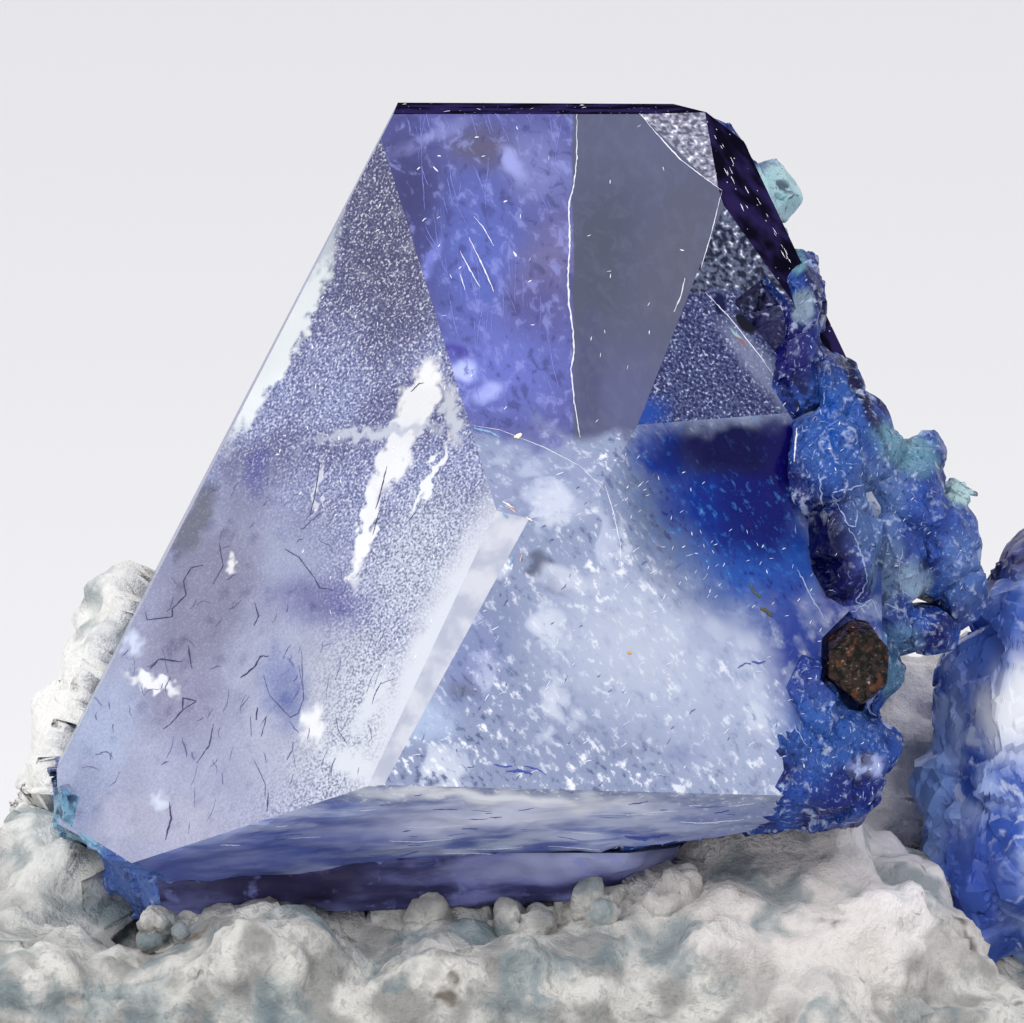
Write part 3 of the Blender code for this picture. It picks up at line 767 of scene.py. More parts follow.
def step_finish() -> Finish:
    """Make the dark blue-violet step under the crystal."""
    f = Finish("dark_step")
    lines = f.noise(1.0, 4.0, f.stretched((0.9, 0.9, 4.0), 3))
    edge = f.ragged(0.25, 1.6)
    colour = f.mix(f.ramp(lines, 0.35, 0.65), shade(62, 62, 108), shade(128, 132, 192))
    colour = f.mix(f.spot((280, 885), (130, 20), 2, 0.6, edge), colour, shade(54, 50, 86))
    colour = f.mix(f.spot((560, 862), (90, 12), -4, 0.7, edge), colour, shade(160, 166, 206))
    colour = f.mix(f.spot((648, 838), (26, 5), 0, 0.5, edge), colour, shade(20, 22, 78))
    f.colour(f.mix(f.ramp(f.noise(3.0, 3.0), 0.58, 0.72, 0.0, 0.6), colour, shade(140, 150, 214)))
    f.clear(0.15, 0.25, BENITOITE_TINT, TINT_DENSITY)
    return f


def growth_finish() -> Finish:
    """Make the rough blue growths, with pale rims, teal tips, painted sparkle, and painted shade in hollows and a
    pocket.
    """
    f = Finish("blue_growths")
    edge = f.ragged(0.14, 3.0)
    body = f.mix(f.ramp(f.noise(1.4, 3.0), 0.36, 0.64), shade(8, 14, 88), shade(36, 74, 156))
    body = f.paint(body, DEEP_SPOTS[9:] + GROWTH_SPOTS, edge)
    crest_and_hollow = f.node("ShaderNodeAttribute", attribute_name="crest_and_hollow").outputs["Fac"]
    fine = f.noise(8.0, 3.0)
    rim = f.math("MULTIPLY", f.ramp(crest_and_hollow, 0.45, 0.95), f.ramp(fine, 0.45, 0.60))
    body = f.mix(f.ramp(fine, 0.58, 0.74, 0.0, 0.5), body, f.mix(0.5, body, shade(160, 184, 222)))
    body = f.mix(f.math("MULTIPLY", rim, 0.6), body, shade(188, 200, 230))
    grit_and_glints = f.noise(15.0, 3.0, f.stretched((1.0, 1.0, 0.6), -28), 0.6)
    # Painted glints: light sparkle flecks on the growths.
    body = f.mix(f.ramp(grit_and_glints, 0.60, 0.72, 0.0, 0.75), body, shade(168, 188, 224))
    body = f.mix(f.ramp(grit_and_glints, 0.44, 0.32, 0.0, 0.6), body, shade(6, 10, 64))
    # Painted shade: darken the hollows between the facets.
    body = f.mix(f.ramp(crest_and_hollow, -0.02, -0.5, 0.0, 0.8), body, shade(8, 12, 60))
    # Painted shade: a near-black pocket where the growths leave a hollow.
    body = f.mix(f.spot((822, 562), (27, 54), 0, 0.4, edge), body, f.mix(0.92, body, shade(0, 3, 58)))
    f.colour(body)
    f.clear(f.see_through_dark(body, 0.12), 0.2, (0.35, 0.55, 0.9), 200.0)
    f.drive("Normal", f.bump(grit_and_glints, 0.05, 0.6))
    return f


def back_finish() -> Finish:
    """Make the faces behind: violet-blue above and cloudy below, like the front."""
    f = Finish("back_faces")
    edge = f.ragged(0.25, 1.6)
    plume = f.noise(1.6, 5.0, f.stretched((1.8, 1.8, 0.4), 10, edge), 0.6)
    violet = f.mix(f.ramp(plume, 0.36, 0.66), shade(66, 68, 138), shade(126, 134, 204))
    f.colour(f.mix(f.above(540, 130, edge), ice(f, edge), violet))
    f.clear(0.25, 0.2, BENITOITE_TINT, TINT_DENSITY)
    f.drive("Normal", f.bump(plume, 0.06, 0.3))
    return f


def deselect() -> None:
    """Leave nothing selected."""
    bpy.ops.object.select_all(action="DESELECT")


def choose(thing: bpy.types.Object) -> None:
    """Select one object alone and make it the active one."""
    deselect()
    thing.select_set(True)
    bpy.context.view_layer.objects.active = thing


def copy_of(node: str, name: str) -> bpy.types.Object:
    """Copy a solid of the frame as a new piece, with its doubles merged.

    Args:
        node: The solid's name.
        name: The new piece's name.

    Returns:
        The new piece, with no material.
    """
    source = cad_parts[node]
    thing = bpy.data.objects.new(name, source.data.copy())
    bpy.context.scene.collection.objects.link(thing)
    thing.data.materials.clear()
    choose(thing)
    bpy.ops.object.mode_set(mode="EDIT")
    bpy.ops.mesh.select_all(action="SELECT")
    bpy.ops.mesh.remove_doubles(threshold=2e-6)
    bpy.ops.mesh.normals_make_consistent(inside=False)
    bpy.ops.mesh.dissolve_limited(angle_limit=math.radians(0.2))
    bpy.ops.mesh.quads_convert_to_tris(quad_method="BEAUTY", ngon_method="BEAUTY")
    bpy.ops.object.mode_set(mode="OBJECT")
    return thing


def refine(thing: bpy.types.Object, longest: dict[int, float], rounds: int = 8) -> None:
    """Split long edges until each is shorter than its face's finish allows.

    Args:
        thing: The piece.
        longest: The longest edge in mm for each material index.
        rounds: The most times that edges are split.
    """
    choose(thing)
    bpy.ops.object.mode_set(mode="EDIT")
    bpy.ops.mesh.select_mode(type="EDGE")
    for _ in range(rounds):
        bm = bmesh.from_edit_mesh(thing.data)
        count = 0
        for edge in bm.edges:
            limit = min((longest[f.material_index] for f in edge.link_faces), default=1.0)
            edge.select_set(edge.calc_length() > limit * MM)
        for edge in bm.edges:
            count += edge.select
        bmesh.update_edit_mesh(thing.data)
        if not count:
            break
        bpy.ops.mesh.subdivide(number_cuts=1, quadcorner="STRAIGHT_CUT")
        bpy.ops.mesh.select_all(action="SELECT")
        bpy.ops.mesh.quads_convert_to_tris(quad_method="SHORTEST_DIAGONAL", ngon_method="BEAUTY")
        bpy.ops.mesh.select_all(action="DESELECT")
    bpy.ops.object.mode_set(mode="OBJECT")


def facets(spot: Vector, size: float, tilt: float) -> tuple[float, float]:
    """Cut a rough surface into small tilted crystal facets.

    Args:
        spot: The place in mm.
        size: A facet's size in mm.
        tilt: How steeply the facets lean.

    Returns:
        The height in mm, and 1 on a facet's rim falling to 0 inside it.
    """
    distances, points = noise.voronoi(spot / size)
    lean = noise.cell_vector(points[0] * 7.3) - Vector((0.5, 0.5, 0.5))
    height = (spot / size - points[0]).dot(lean) * tilt * size
    rim = max(0.0, 1.0 - (distances[1] - distances[0]) * 5.0)
    return height + 0.10 * size * (0.5 - distances[0]), rim


FOOT_FACES = (4, 6, 9)


@dataclass
class LargeCrystal:
    """The large crystal: its flat faces, and the rough growths on its right."""

    fine: float = 0.1
    coarse: float = 0.9
    same_way: float = math.cos(math.radians(1.5))
    same_plane: float = 0.01 * MM
    rough_right: float = 3.2
    rough_left: float = -5.6
    rough_foot: float = 7.4
    hook: Pixel = (940.0, 606.0)
    hook_calm: tuple[float, float] = (14.0, 30.0)
    foot_column: float = 806.0
    foot_lean: float = 0.35
    foot_top: float = 696.0
    foot_fine: float = 0.3
    foot_ragged: float = 22.0
    foot_edge: tuple[Pixel, ...] = (
        (640, 885), (680, 884), (703, 873), (722, 880), (745, 889), (768, 884), (790, 877), (800, 880), (812, 868),
        (830, 862),
    )
    planes: dict[Face, Vector] = field(default_factory=dict)
    growth: int = 11
    under: int = 9
    wave: float = 0.16

    def build(self) -> bpy.types.Object:
        """Copy the solid, sort its faces, split the growths finely and roughen them."""
        self.thing = copy_of("benitoite_crystal", "large_crystal")
        self.sort_faces()
        flat = len(self.thing.data.materials)
        longest = dict.fromkeys(range(flat), self.coarse)
        longest[self.growth] = self.fine
        longest[self.growth + 2] = 0.12
        longest[self.under] = longest[self.under + 1] = 0.12
        longest.update(dict.fromkeys(FOOT_FACES, self.foot_fine))
        refine(self.thing, longest)
        self.grow_foot()
        refine(self.thing, longest)
        self.roughen()
        self.trim_foot()
        return self.thing

    def sort_faces(self) -> None:
        """Give each face of the crystal its finish, by its plane."""
        finishes = {
            Face.TOP: dark_face_finish("dark_top"),
            Face.CENTRE: centre_face_finish(),
            Face.LEFT: left_face_finish(),
            Face.BEVEL: bevel_finish(),
            Face.FRONT: front_face_finish(),
            Face.UPPER_RIGHT: frosted_triangle_finish(),
            Face.LOWER_RIGHT: lower_right_finish(),
            Face.CHIP: chip_finish(),
            Face.DARK: dark_face_finish("dark_right"),
            Face.UNDER_FRONT: under_finish(),
            Face.STEP: step_finish(),
        }
        order = list(finishes)
        mesh = self.thing.data
        for finish in (*finishes.values(), growth_finish(), back_finish(), granular_finish()):
            mesh.materials.append(finish.material)
        for face in Face:
            alike = [p for p in mesh.polygons if p.normal.dot(face.normal) > self.same_way]
            biggest = max(alike, key=lambda p: p.area)
            self.planes[face] = biggest.center.copy()
        for poly in mesh.polygons:
            poly.material_index = self.growth
            for face in Face:
                if poly.normal.dot(face.normal) < self.same_way:
                    continue
                off = abs((poly.center - self.planes[face]).dot(face.normal))
                if off < self.same_plane:
                    poly.material_index = order.index(Face.STEP if face is Face.STEP_CORNER else face)
                elif face is Face.UPPER_RIGHT:
                    poly.material_index = self.growth + 2
            if poly.material_index == self.growth and not self.grown_at(poly.center):
                poly.material_index = self.growth + 1

    def grow_foot(self) -> None:
        """Turn the right ends of the lower faces into growths, as far as a leaning ragged line."""
        for poly in self.thing.data.polygons:
            if poly.material_index not in FOOT_FACES:
                continue
            column, row = VIEW.pixel(poly.center)
            start = self.foot_column - self.foot_lean * (row - self.foot_top)
            start += self.foot_ragged * noise.noise(poly.center / MM * 1.6)
            if column > start and row > self.foot_top + self.foot_ragged * noise.noise(poly.center / MM * 1.1):
                poly.material_index = self.growth

    def trim_foot(self) -> None:
        """Pull the right foot in and out to the outline that the picture shows."""
        for vert in self.thing.data.vertices:
            column, row = VIEW.pixel(vert.co)
            if column < self.foot_column or row < self.foot_edge[0][0]:
                continue
            edge = self.foot_edge[-1][1]
            for (top, here), (foot, there) in zip(self.foot_edge, self.foot_edge[1:]):
                if top <= row < foot:
                    edge = here + (there - here) * (row - top) / (foot - top)
            share = (column - self.foot_column) / (self.foot_edge[0][1] - self.foot_column)
            vert.co.x += (edge - self.foot_edge[0][1]) * min(1.0, share) / VIEW.pixels_per_mm * MM

    def grown_at(self, place: Vector) -> bool:
        """Say whether a place is among the growths: on the right, or at the left foot."""
        return place.x > self.rough_right * MM or (place.x < self.rough_left * MM and place.z < self.rough_foot * MM)

    def roughen(self) -> None:
        """Cut the growths into small facets and keep their rims in an attribute, with their hollows below zero for
        painted shade.
        """
        mesh = self.thing.data
        rough = {self.growth, self.growth + 2, self.under, self.under + 1}
        waved = {v for p in mesh.polygons if p.material_index in (self.under, self.under + 1) for v in p.vertices}
        flat_verts = {v for p in mesh.polygons if p.material_index not in rough for v in p.vertices}
        crest_and_hollow = mesh.attributes.new("crest_and_hollow", "FLOAT", "POINT")
        moves = []
        for vert in mesh.vertices:
            if vert.index in flat_verts:
                moves.append(Vector())
                continue
            spot = vert.co / MM
            if vert.index in waved:
                wave = noise.noise(Vector((spot.x * 0.8, spot.y, spot.z * 2.5))) + 0.4 * noise.noise(spot * 3.0)
                moves.append(vert.normal * self.wave * wave * MM)
                continue
            swirl = spot + 0.25 * noise.noise_vector(spot * 1.3)
            large, rim = facets(swirl, 0.75, 0.42)
            small, fine_rim = facets(swirl, 0.3, 0.22)
            hollow = noise.noise(spot * 0.9)
            # Hollows go below zero here; the growth finish paints shade there.
            crest_and_hollow.data[vert.index].value = max(rim, 0.7 * fine_rim) - max(0.0, -1.2 * hollow)
            calm = (math.dist(VIEW.pixel(vert.co), self.hook) - self.hook_calm[0]) / self.hook_calm[1]
            height = (large + small + 0.10 * hollow + 0.04 * rim) * min(1.0, max(0.15, calm))
            moves.append(vert.normal * height * MM)
        for vert, move in zip(mesh.vertices, moves):
            vert.co += move
        group = self.thing.vertex_groups.new(name="rough")
        group.add([v.index for v in mesh.vertices if v.index not in flat_verts], 1.0, "REPLACE")
        smooth = self.thing.modifiers.new("soften", "SMOOTH")
        smooth.vertex_group = "rough"
        smooth.factor = 0.5
        smooth.iterations = 2
        choose(self.thing)
        bpy.ops.object.modifier_apply(modifier="soften")

    def dress(self) -> None:
        """Declare what the crystal stands for."""
        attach(self.thing, "root")
        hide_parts("benitoite_crystal")


@dataclass(frozen=True)
class Stroke:
    """A thin crack, ridge or glint, drawn through pixels of the picture."""

    points: tuple[Pixel, ...]
    width: float


@dataclass(frozen=True)
class Scatter:
    """Many small strokes inside an area of the picture.

    The heading is in degrees from the right, turning up; curl says how much each one wanders.
    """

    area: tuple[Pixel, ...]
    count: int
    length: Pixel
    width: Pixel
    heading: float
    spread: float
    curl: float = 12.0
    step: float = 4.0

    def holds(self, pixel: Pixel) -> bool:
        """Say whether a pixel is inside the area."""
        inside = False
        for start, end in zip(self.area, self.area[1:] + self.area[:1]):
            if (start[1] > pixel[1]) != (end[1] > pixel[1]):
                along = (pixel[1] - start[1]) / (end[1] - start[1])
                if pixel[0] < start[0] + along * (end[0] - start[0]):
                    inside = not inside
        return inside

    def strokes(self, chance: random.Random) -> list[Stroke]:
        """Place the strokes."""
        columns = [p[0] for p in self.area]
        rows = [p[1] for p in self.area]
        made = []
        while len(made) < self.count:
            spot = (chance.uniform(min(columns), max(columns)), chance.uniform(min(rows), max(rows)))
            if not self.holds(spot):
                continue
            turn = math.radians(self.heading + chance.uniform(-self.spread, self.spread))
            points = [spot]
            for _ in range(max(1, round(chance.uniform(*self.length) / self.step))):
                turn += math.radians(chance.uniform(-self.curl, self.curl))
                last = points[-1]
                points.append((last[0] + self.step * math.cos(turn), last[1] - self.step * math.sin(turn)))
            made.append(Stroke(tuple(points), chance.uniform(*self.width)))
        return made


class Skin:
    """The dressed crystal's surface, on which the strokes lie."""

    def __init__(self, thing: bpy.types.Object) -> None:
        """Take the surface of a piece."""
        mesh = thing.data
        self.tree = BVHTree.FromPolygons([v.co for v in mesh.vertices], [p.vertices for p in mesh.polygons])

    def at(self, pixel: Pixel) -> tuple[Vector, Vector] | None:
        """Find the place and normal that a pixel shows, or None where it shows no crystal."""
        hit, normal, _, _ = self.tree.ray_cast(VIEW.pixel_place(pixel, -5.0), VIEW.sight)
        return (hit, normal) if hit else None


@dataclass
class Markings:
    """One kind of stroke: thin tapered threads, half sunk into the crystal's surface."""

    name: str
    colour: Colour
    drawn: tuple[Stroke, ...] = ()
    scattered: tuple[Scatter, ...] = ()
    roughness: float = 0.3
    proud: float = 0.25
    cut: float = 2.5
    shake: float = 0.18
    seed: int = 5

    def build(self, skin: Skin) -> bpy.types.Object:
        """Draw the strokes on the crystal as tapered threads and turn them into a mesh."""
        chance = random.Random(self.seed)
        strokes = list(self.drawn)
        for scatter in self.scattered:
            strokes += scatter.strokes(chance)
        curve = bpy.data.curves.new(self.name, "CURVE")
        curve.dimensions = "3D"
        curve.bevel_depth = 0.5 * MM / VIEW.pixels_per_mm
        curve.bevel_resolution = 0
        for stroke in strokes:
            self.thread(curve, stroke, skin, chance)
        thing = bpy.data.objects.new(self.name, curve)
        bpy.context.scene.collection.objects.link(thing)
        choose(thing)
        bpy.ops.object.convert(target="MESH")
        thing = bpy.context.object
        bpy.ops.object.shade_smooth()
        f = Finish(self.name)
        f.colour(self.colour)
        f.drive("Roughness", self.roughness)
        f.shader.inputs["Specular IOR Level"].default_value = 0.2
        thing.data.materials.clear()
        thing.data.materials.append(f.material)
        self.thing = thing
        return thing

    def thread(self, curve: bpy.types.Curve, stroke: Stroke, skin: Skin, chance: random.Random) -> None:
        """Add one stroke's thread, broken where it leaves the crystal."""
        fine = []
        for start, end in zip(stroke.points, stroke.points[1:]):
            count = max(1, math.ceil(math.dist(start, end) / 3.5))
            for i in range(count):
                part = i / count
                fine.append(tuple(a + (b - a) * part for a, b in zip(start, end)))
        fine.append(stroke.points[-1])
        places = []
        for pixel in fine:
            found = skin.at(tuple(part + chance.uniform(-self.shake, self.shake) * stroke.width for part in pixel))
            if found is None:
                break
            if places and (found[0] - places[-1]).length > self.cut * 3.5 * MM / VIEW.pixels_per_mm:
                break
            places.append(found[0] + found[1] * (self.proud * 0.5 * stroke.width * MM / VIEW.pixels_per_mm))
        if len(places) < 2:
            return
        spline = curve.splines.new("POLY")
        spline.points.add(len(places) - 1)
        for i, place in enumerate(places):
            share = i / (len(places) - 1)
            taper = math.sin(math.pi * (0.08 + 0.84 * share)) ** 0.6
            spline.points[i].co = (*place, 1.0)
            spline.points[i].radius = stroke.width * taper * chance.uniform(0.45, 1.25)

    def dress(self) -> None:
        """Declare that the strokes belong to the large crystal."""
        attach(self.thing, "root")


CENTRE_AREA = ((400, 125), (560, 125), (562, 425), (475, 410), (440, 320))
# The area of the painted grey reflection on the centre face.
GREY_REFLECTION_AREA = ((580, 120), (640, 118), (715, 190), (625, 430), (600, 470), (582, 430))
ICE_AREA = (
    (480, 440), (600, 495), (625, 440), (690, 520), (760, 610), (815, 660), (790, 780), (640, 800), (400, 770),
    (470, 630), (525, 530),
)
SPARKLE_AREA = ((615, 440), (660, 440), (740, 520), (800, 560), (780, 640), (690, 600), (610, 520))
GROWTH_AREA = (
    (752, 300), (800, 300), (850, 380), (890, 440), (930, 470), (984, 575), (905, 650), (888, 760), (870, 812),
    (800, 800), (795, 640), (790, 430),
)
ETCHED_AREA = ((200, 480), (330, 470), (350, 660), (300, 760), (130, 800), (72, 770), (150, 590))
LEFT_FOOT_AREA = ((130, 650), (390, 620), (372, 770), (145, 850))
TOP_AREA = ((398, 102), (650, 101), (642, 111), (396, 112))
DARK_AREA = ((712, 128), (730, 142), (788, 238), (798, 268), (724, 188))
UNDER_AREA = ((190, 850), (385, 790), (700, 797), (790, 812), (640, 832), (430, 868))
LEFT_GRAIN_AREA = ((375, 150), (470, 400), (490, 510), (400, 700), (330, 640), (250, 440))

WHITE_CRACKS = (
    Stroke(((572, 101), (578, 112)), 4.0),
    Stroke(
        (
            (577, 113), (577, 157), (574, 186), (569, 202), (570, 246), (568, 275), (569, 304), (573, 331),
            (574, 353), (571, 369), (574, 402), (580, 438),
        ),
        2.1,
    ),
    Stroke(((685, 278), (681, 296), (674, 312)), 1.6),
    Stroke(((705, 292), (730, 318), (760, 356), (794, 405), (799, 422), (793, 456), (781, 482)), 1.2),
    Stroke(((797, 428), (794, 462)), 2.2),
    Stroke(((605, 486), (613, 512), (620, 545), (622, 580)), 1.2),
    Stroke(((474, 426), (500, 430), (545, 448), (580, 466), (604, 490)), 0.7),
    Stroke(((640, 112), (655, 130), (680, 158), (706, 178), (722, 190)), 1.6),
    Stroke(((722, 191), (712, 232), (701, 268)), 1.0),
    Stroke(((513, 252), (517, 257)), 4.0),
    Stroke(((460, 251), (470, 270), (480, 287)), 1.6),
    Stroke(((469, 237), (482, 264), (494, 292)), 1.8),
    Stroke(((474, 216), (484, 228), (494, 246)), 1.2),
    Stroke(((460, 273), (465, 290)), 1.4),
    Stroke(((433, 166), (438, 171)), 2.2),
    Stroke(((422, 221), (426, 218)), 2.2),
)

GROWTH_RIDGES = (
    Stroke(((824, 392), (821, 446), (826, 469), (833, 471), (841, 465), (841, 439), (839, 392)), 1.9),
    Stroke(((832, 492), (848, 490), (864, 484)), 2.5),
    Stroke(((832, 494), (848, 526), (854, 526), (859, 497)), 1.6),
    Stroke(((819, 475), (822, 504), (826, 523), (818, 545), (806, 560), (790, 568), (762, 577)), 1.9),
    Stroke(((796, 569), (812, 600), (827, 623)), 2.0),
    Stroke(((848, 528), (858, 544), (867, 582), (855, 602), (866, 606)), 1.9),
    Stroke(((903, 549), (898, 575), (903, 592), (916, 598), (930, 590)), 1.5),
    Stroke(((885, 604), (905, 612), (925, 598)), 1.9),
    Stroke(((852, 612), (872, 600), (880, 618)), 1.9),
    Stroke(((766, 722), (775, 731), (788, 740)), 1.5),
    Stroke(((794, 725), (799, 735), (806, 745)), 1.4),
    Stroke(((835, 690), (850, 715), (860, 745)), 1.5),
)

DARK_CRACKS = (
    Stroke(((387, 466), (380, 496), (376, 509)), 1.4),
    Stroke(((379, 513), (373, 535)), 1.4),
    Stroke(((320, 463), (315, 496), (310, 516)), 1.4),
    Stroke(((421, 503), (411, 519), (404, 526)), 1.0),
    Stroke(((424, 383), (419, 384), (411, 392)), 1.4),
    Stroke(((196, 494), (210, 503), (204, 525)), 2.4),
    Stroke(((219, 543), (223, 566), (213, 584)), 1.5),
    Stroke(((203, 565), (191, 568), (183, 581), (186, 595), (172, 609), (172, 617), (147, 620), (145, 613)), 1.5),
    Stroke(((150, 669), (159, 659), (182, 662)), 1.8),
    Stroke(((163, 729), (170, 725), (183, 710), (183, 698), (197, 701), (183, 710)), 1.7),
    Stroke(((197, 763), (210, 745), (214, 724)), 1.5),
    Stroke(((258, 707), (257, 719)), 2.2),
    Stroke(((267, 716), (262, 736)), 1.5),
    Stroke(((251, 716), (252, 736)), 1.0),
    Stroke(((255, 760), (266, 783), (266, 796)), 1.2),
    Stroke(((269, 792), (268, 811)), 1.8),
    Stroke(((241, 678), (255, 667), (261, 656), (269, 656)), 2.0),
    Stroke(((264, 675), (270, 695), (291, 717), (299, 713), (304, 698), (302, 651)), 1.0),
    Stroke(((255, 603), (259, 616), (254, 626)), 1.5),
    Stroke(((285, 549), (299, 557), (315, 578), (320, 588), (334, 590)), 1.5),
    Stroke(((170, 801), (172, 818), (166, 839)), 2.0),
    Stroke(((188, 645), (192, 668)), 1.8),
    Stroke(((336, 713), (339, 730), (350, 746)), 0.9),
    Stroke(((374, 697), (381, 683), (398, 677)), 0.9),
)

BLUE_DASHES = (
    Stroke(((494, 763), (504, 766), (512, 765)), 2.2),
    Stroke(((506, 771), (520, 769), (532, 773)), 2.8),
    Stroke(((524, 765), (538, 768), (546, 774)), 2.0),
    Stroke(((625, 835), (645, 838), (668, 834)), 4.0),
    Stroke(((737, 668), (744, 663), (750, 664)), 2.4),
    Stroke(((751, 661), (758, 663), (764, 661)), 2.6),
)

RAINBOW_GLINTS = {
    "cream_glints": (shade(246, 238, 220), (Stroke(((521, 434), (515, 438)), 6.0), Stroke(((503, 502), (514, 508)), 2.6), Stroke(((526, 517), (532, 521)), 2.0))),
    "orange_glints": (shade(226, 176, 150), (Stroke(((509, 507), (516, 513)), 1.8), Stroke(((522, 554), (520, 562)), 2.0))),
    "blue_glints": (shade(132, 166, 204), (Stroke(((474, 428), (490, 433), (500, 438)), 4.0), Stroke(((503, 512), (508, 518)), 2.6), Stroke(((514, 556), (510, 566)), 2.6))),
    "orange_speck": (shade(232, 160, 40), (Stroke(((627, 652), (630, 652)), 4.5),)),
    "olive_specks": (shade(92, 92, 40), (Stroke(((749, 584), (753, 592), (760, 598)), 3.0), Stroke(((760, 608), (766, 612), (771, 616)), 4.0))),
}

KINDS = (
    Markings("white_cracks", shade(232, 234, 244), WHITE_CRACKS),
    Markings("dark_cracks", shade(58, 60, 100), DARK_CRACKS),
    Markings("blue_dashes", shade(70, 86, 166), BLUE_DASHES, (Scatter(UNDER_AREA, 34, (5, 28), (0.6, 1.6), 2, 7, 5),)),
    Markings(
        "pale_veils_and_glints",
        shade(222, 228, 242),
        (),
        (
            Scatter(ICE_AREA, 70, (2, 9), (0.6, 1.3), 35, 30, 18),
            # Painted glints: white sparkle flecks in the deep blue zone.
            Scatter(SPARKLE_AREA, 50, (1, 6), (0.6, 1.4), 60, 40, 30),
            Scatter(UNDER_AREA, 18, (10, 60), (0.6, 1.2), 2, 5, 3),
        ),
        seed=11,
    ),
    Markings(
        "slate_flecks",
        shade(92, 104, 150),
        (),
        (Scatter(ICE_AREA, 40, (2, 8), (0.8, 1.8), 50, 30, 25), Scatter(LEFT_FOOT_AREA, 34, (6, 26), (0.7, 1.3), 80, 20, 12)),
        seed=12,
    ),
    Markings("etched_lines", shade(100, 100, 142), (), (Scatter(ETCHED_AREA, 60, (6, 22), (0.8, 1.7), 70, 50, 40),), seed=13),
    Markings("plumes", shade(126, 132, 206), (), (Scatter(CENTRE_AREA, 60, (14, 60), (0.6, 1.1), 100, 16, 5),), seed=14),
    Markings("growth_rims", shade(150, 168, 208), GROWTH_RIDGES, (Scatter(GROWTH_AREA, 90, (3, 10), (0.5, 1.0), 110, 60, 30),), shake=0.6, seed=15),
    Markings(
        "dust_and_glints",
        shade(244, 245, 252),
        (),
        (
            Scatter(CENTRE_AREA, 18, (1, 2), (0.9, 1.9), 60, 60),
            Scatter(GREY_REFLECTION_AREA, 14, (1, 2), (0.8, 1.6), 60, 60),
            Scatter(LEFT_GRAIN_AREA, 60, (1, 3), (1.0, 2.0), 60, 60),
            Scatter(GROWTH_AREA, 60, (1, 2), (0.6, 1.3), 60, 60),
            # Painted glints: white sparkle on the dark top.
            Scatter(TOP_AREA, 12, (1, 2), (0.6, 1.2), 20, 40),
            # Painted glints: white streak glints on the dark right face.
            Scatter(DARK_AREA, 20, (1, 10), (0.6, 1.2), -62, 4, 2),
        ),
        seed=16,
    ),
)


@dataclass
class Rock:
    """The white matrix."""

    levels: int = 2
    lump_size: float = 1.3
    lump_height: float = 0.55
    gap: float = 0.36

    def build(self) -> bpy.types.Object:
        """Copy the solid, give it even faces, close its seats and raise its lumps."""
        self.thing = copy_of("matrix", "white_matrix")
        smooth = self.thing.modifiers.new("even", "SUBSURF")
        smooth.levels = self.levels
        choose(self.thing)
        bpy.ops.object.modifier_apply(modifier="even")
        bpy.ops.object.shade_smooth()
        self.shape()
        self.rock = self.finish()
        self.thing.data.materials.append(self.rock.material)
        return self.thing

    def shape(self) -> None:
        """Move the rock up to its crystals and raise small lumps on it."""
        crystals = []
        for node in ("benitoite_crystal", "side_crystal"):
            bm = bmesh.new()
            bm.from_mesh(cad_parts[node].data)
            crystals.append(BVHTree.FromBMesh(bm))
            bm.free()
        moves = []
        for vert in self.thing.data.vertices:
            spot = vert.co / MM
            swirl = spot + 0.3 * noise.noise_vector(spot * 0.8)
            bulge = 0.45 - noise.voronoi(swirl / self.lump_size)[0][0]
            small = 0.45 - noise.voronoi(swirl / (0.4 * self.lump_size))[0][0]
            lump = bulge + 0.4 * small + 0.5 * noise.noise(spot * 0.7)
            grain, _ = facets(swirl, 0.6, 0.5)
            move = vert.normal * (self.lump_height * lump + grain) * MM
            place, _, _, near = min((tree.find_nearest(vert.co) for tree in crystals), key=lambda n: n[3])
            close = max(0.0, 1.0 - near / (2.0 * self.gap * MM))
            if near < self.gap * MM:
                move = (place - vert.co) * 1.1
            moves.append(move * (1.0 - close if near >= self.gap * MM else 1.0) if vert.co.z > 0.05 * MM else Vector())
        for vert, move in zip(self.thing.data.vertices, moves):
            vert.co += move
            vert.co.z = max(vert.co.z, 0.0)

    def finish(self) -> Finish:
        """Make the dull white rock with blue-green and rusty stains, and painted light on its left, lower right and
        right.
        """
        f = Finish("white_rock")
        edge = f.ragged(0.5, 1.2)
        near = f.ramp(f.axis("Y", edge), 7.0, 5.0, 0.6, 1.0)
        white = f.mix(f.ramp(f.noise(1.5, 5.0), 0.38, 0.60), shade(156, 155, 152), shade(220, 218, 212))
        white = f.mix(f.ramp(f.noise(6.0, 4.0), 0.52, 0.66, 0.0, 0.4), white, shade(112, 112, 116))
        # Painted light: the left of the rock, where the key lamp falls, is painted near white.
        white = f.mix(f.spot((50, 690), (120, 200), 0, 0.6, edge), white, shade(253, 252, 248))
        # Painted light: a lighter patch at the lower right, kept to the front of the rock by the near mask.
        white = f.mix(f.math("MULTIPLY", f.spot((810, 890), (150, 90), 10, 0.7, edge), near), white, shade(236, 229, 225))
        # Painted light: a shaded part of the rock at the right is painted bright white.
        white = f.mix(f.spot((912, 780), (64, 130), 0, 0.6, edge), white, shade(255, 251, 254))
        teal = f.ramp(f.noise(0.8, 4.0, edge), 0.50, 0.66, 0.0, 0.65)
        white = f.mix(teal, white, shade(98, 124, 134))
        rust = f.ramp(f.noise(0.9, 3.0), 0.66, 0.74, 0.0, 0.85)
        f.colour(f.mix(rust, white, shade(88, 74, 58)))
        f.drive("Roughness", 0.85)
        f.drive("Normal", f.bump(f.noise(6.0, 5.0, rough=0.7), 0.16, 0.9))
        return f

    def dress(self) -> None:
        """Declare what the rock stands for."""
        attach(self.thing, "root")
        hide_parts("matrix")


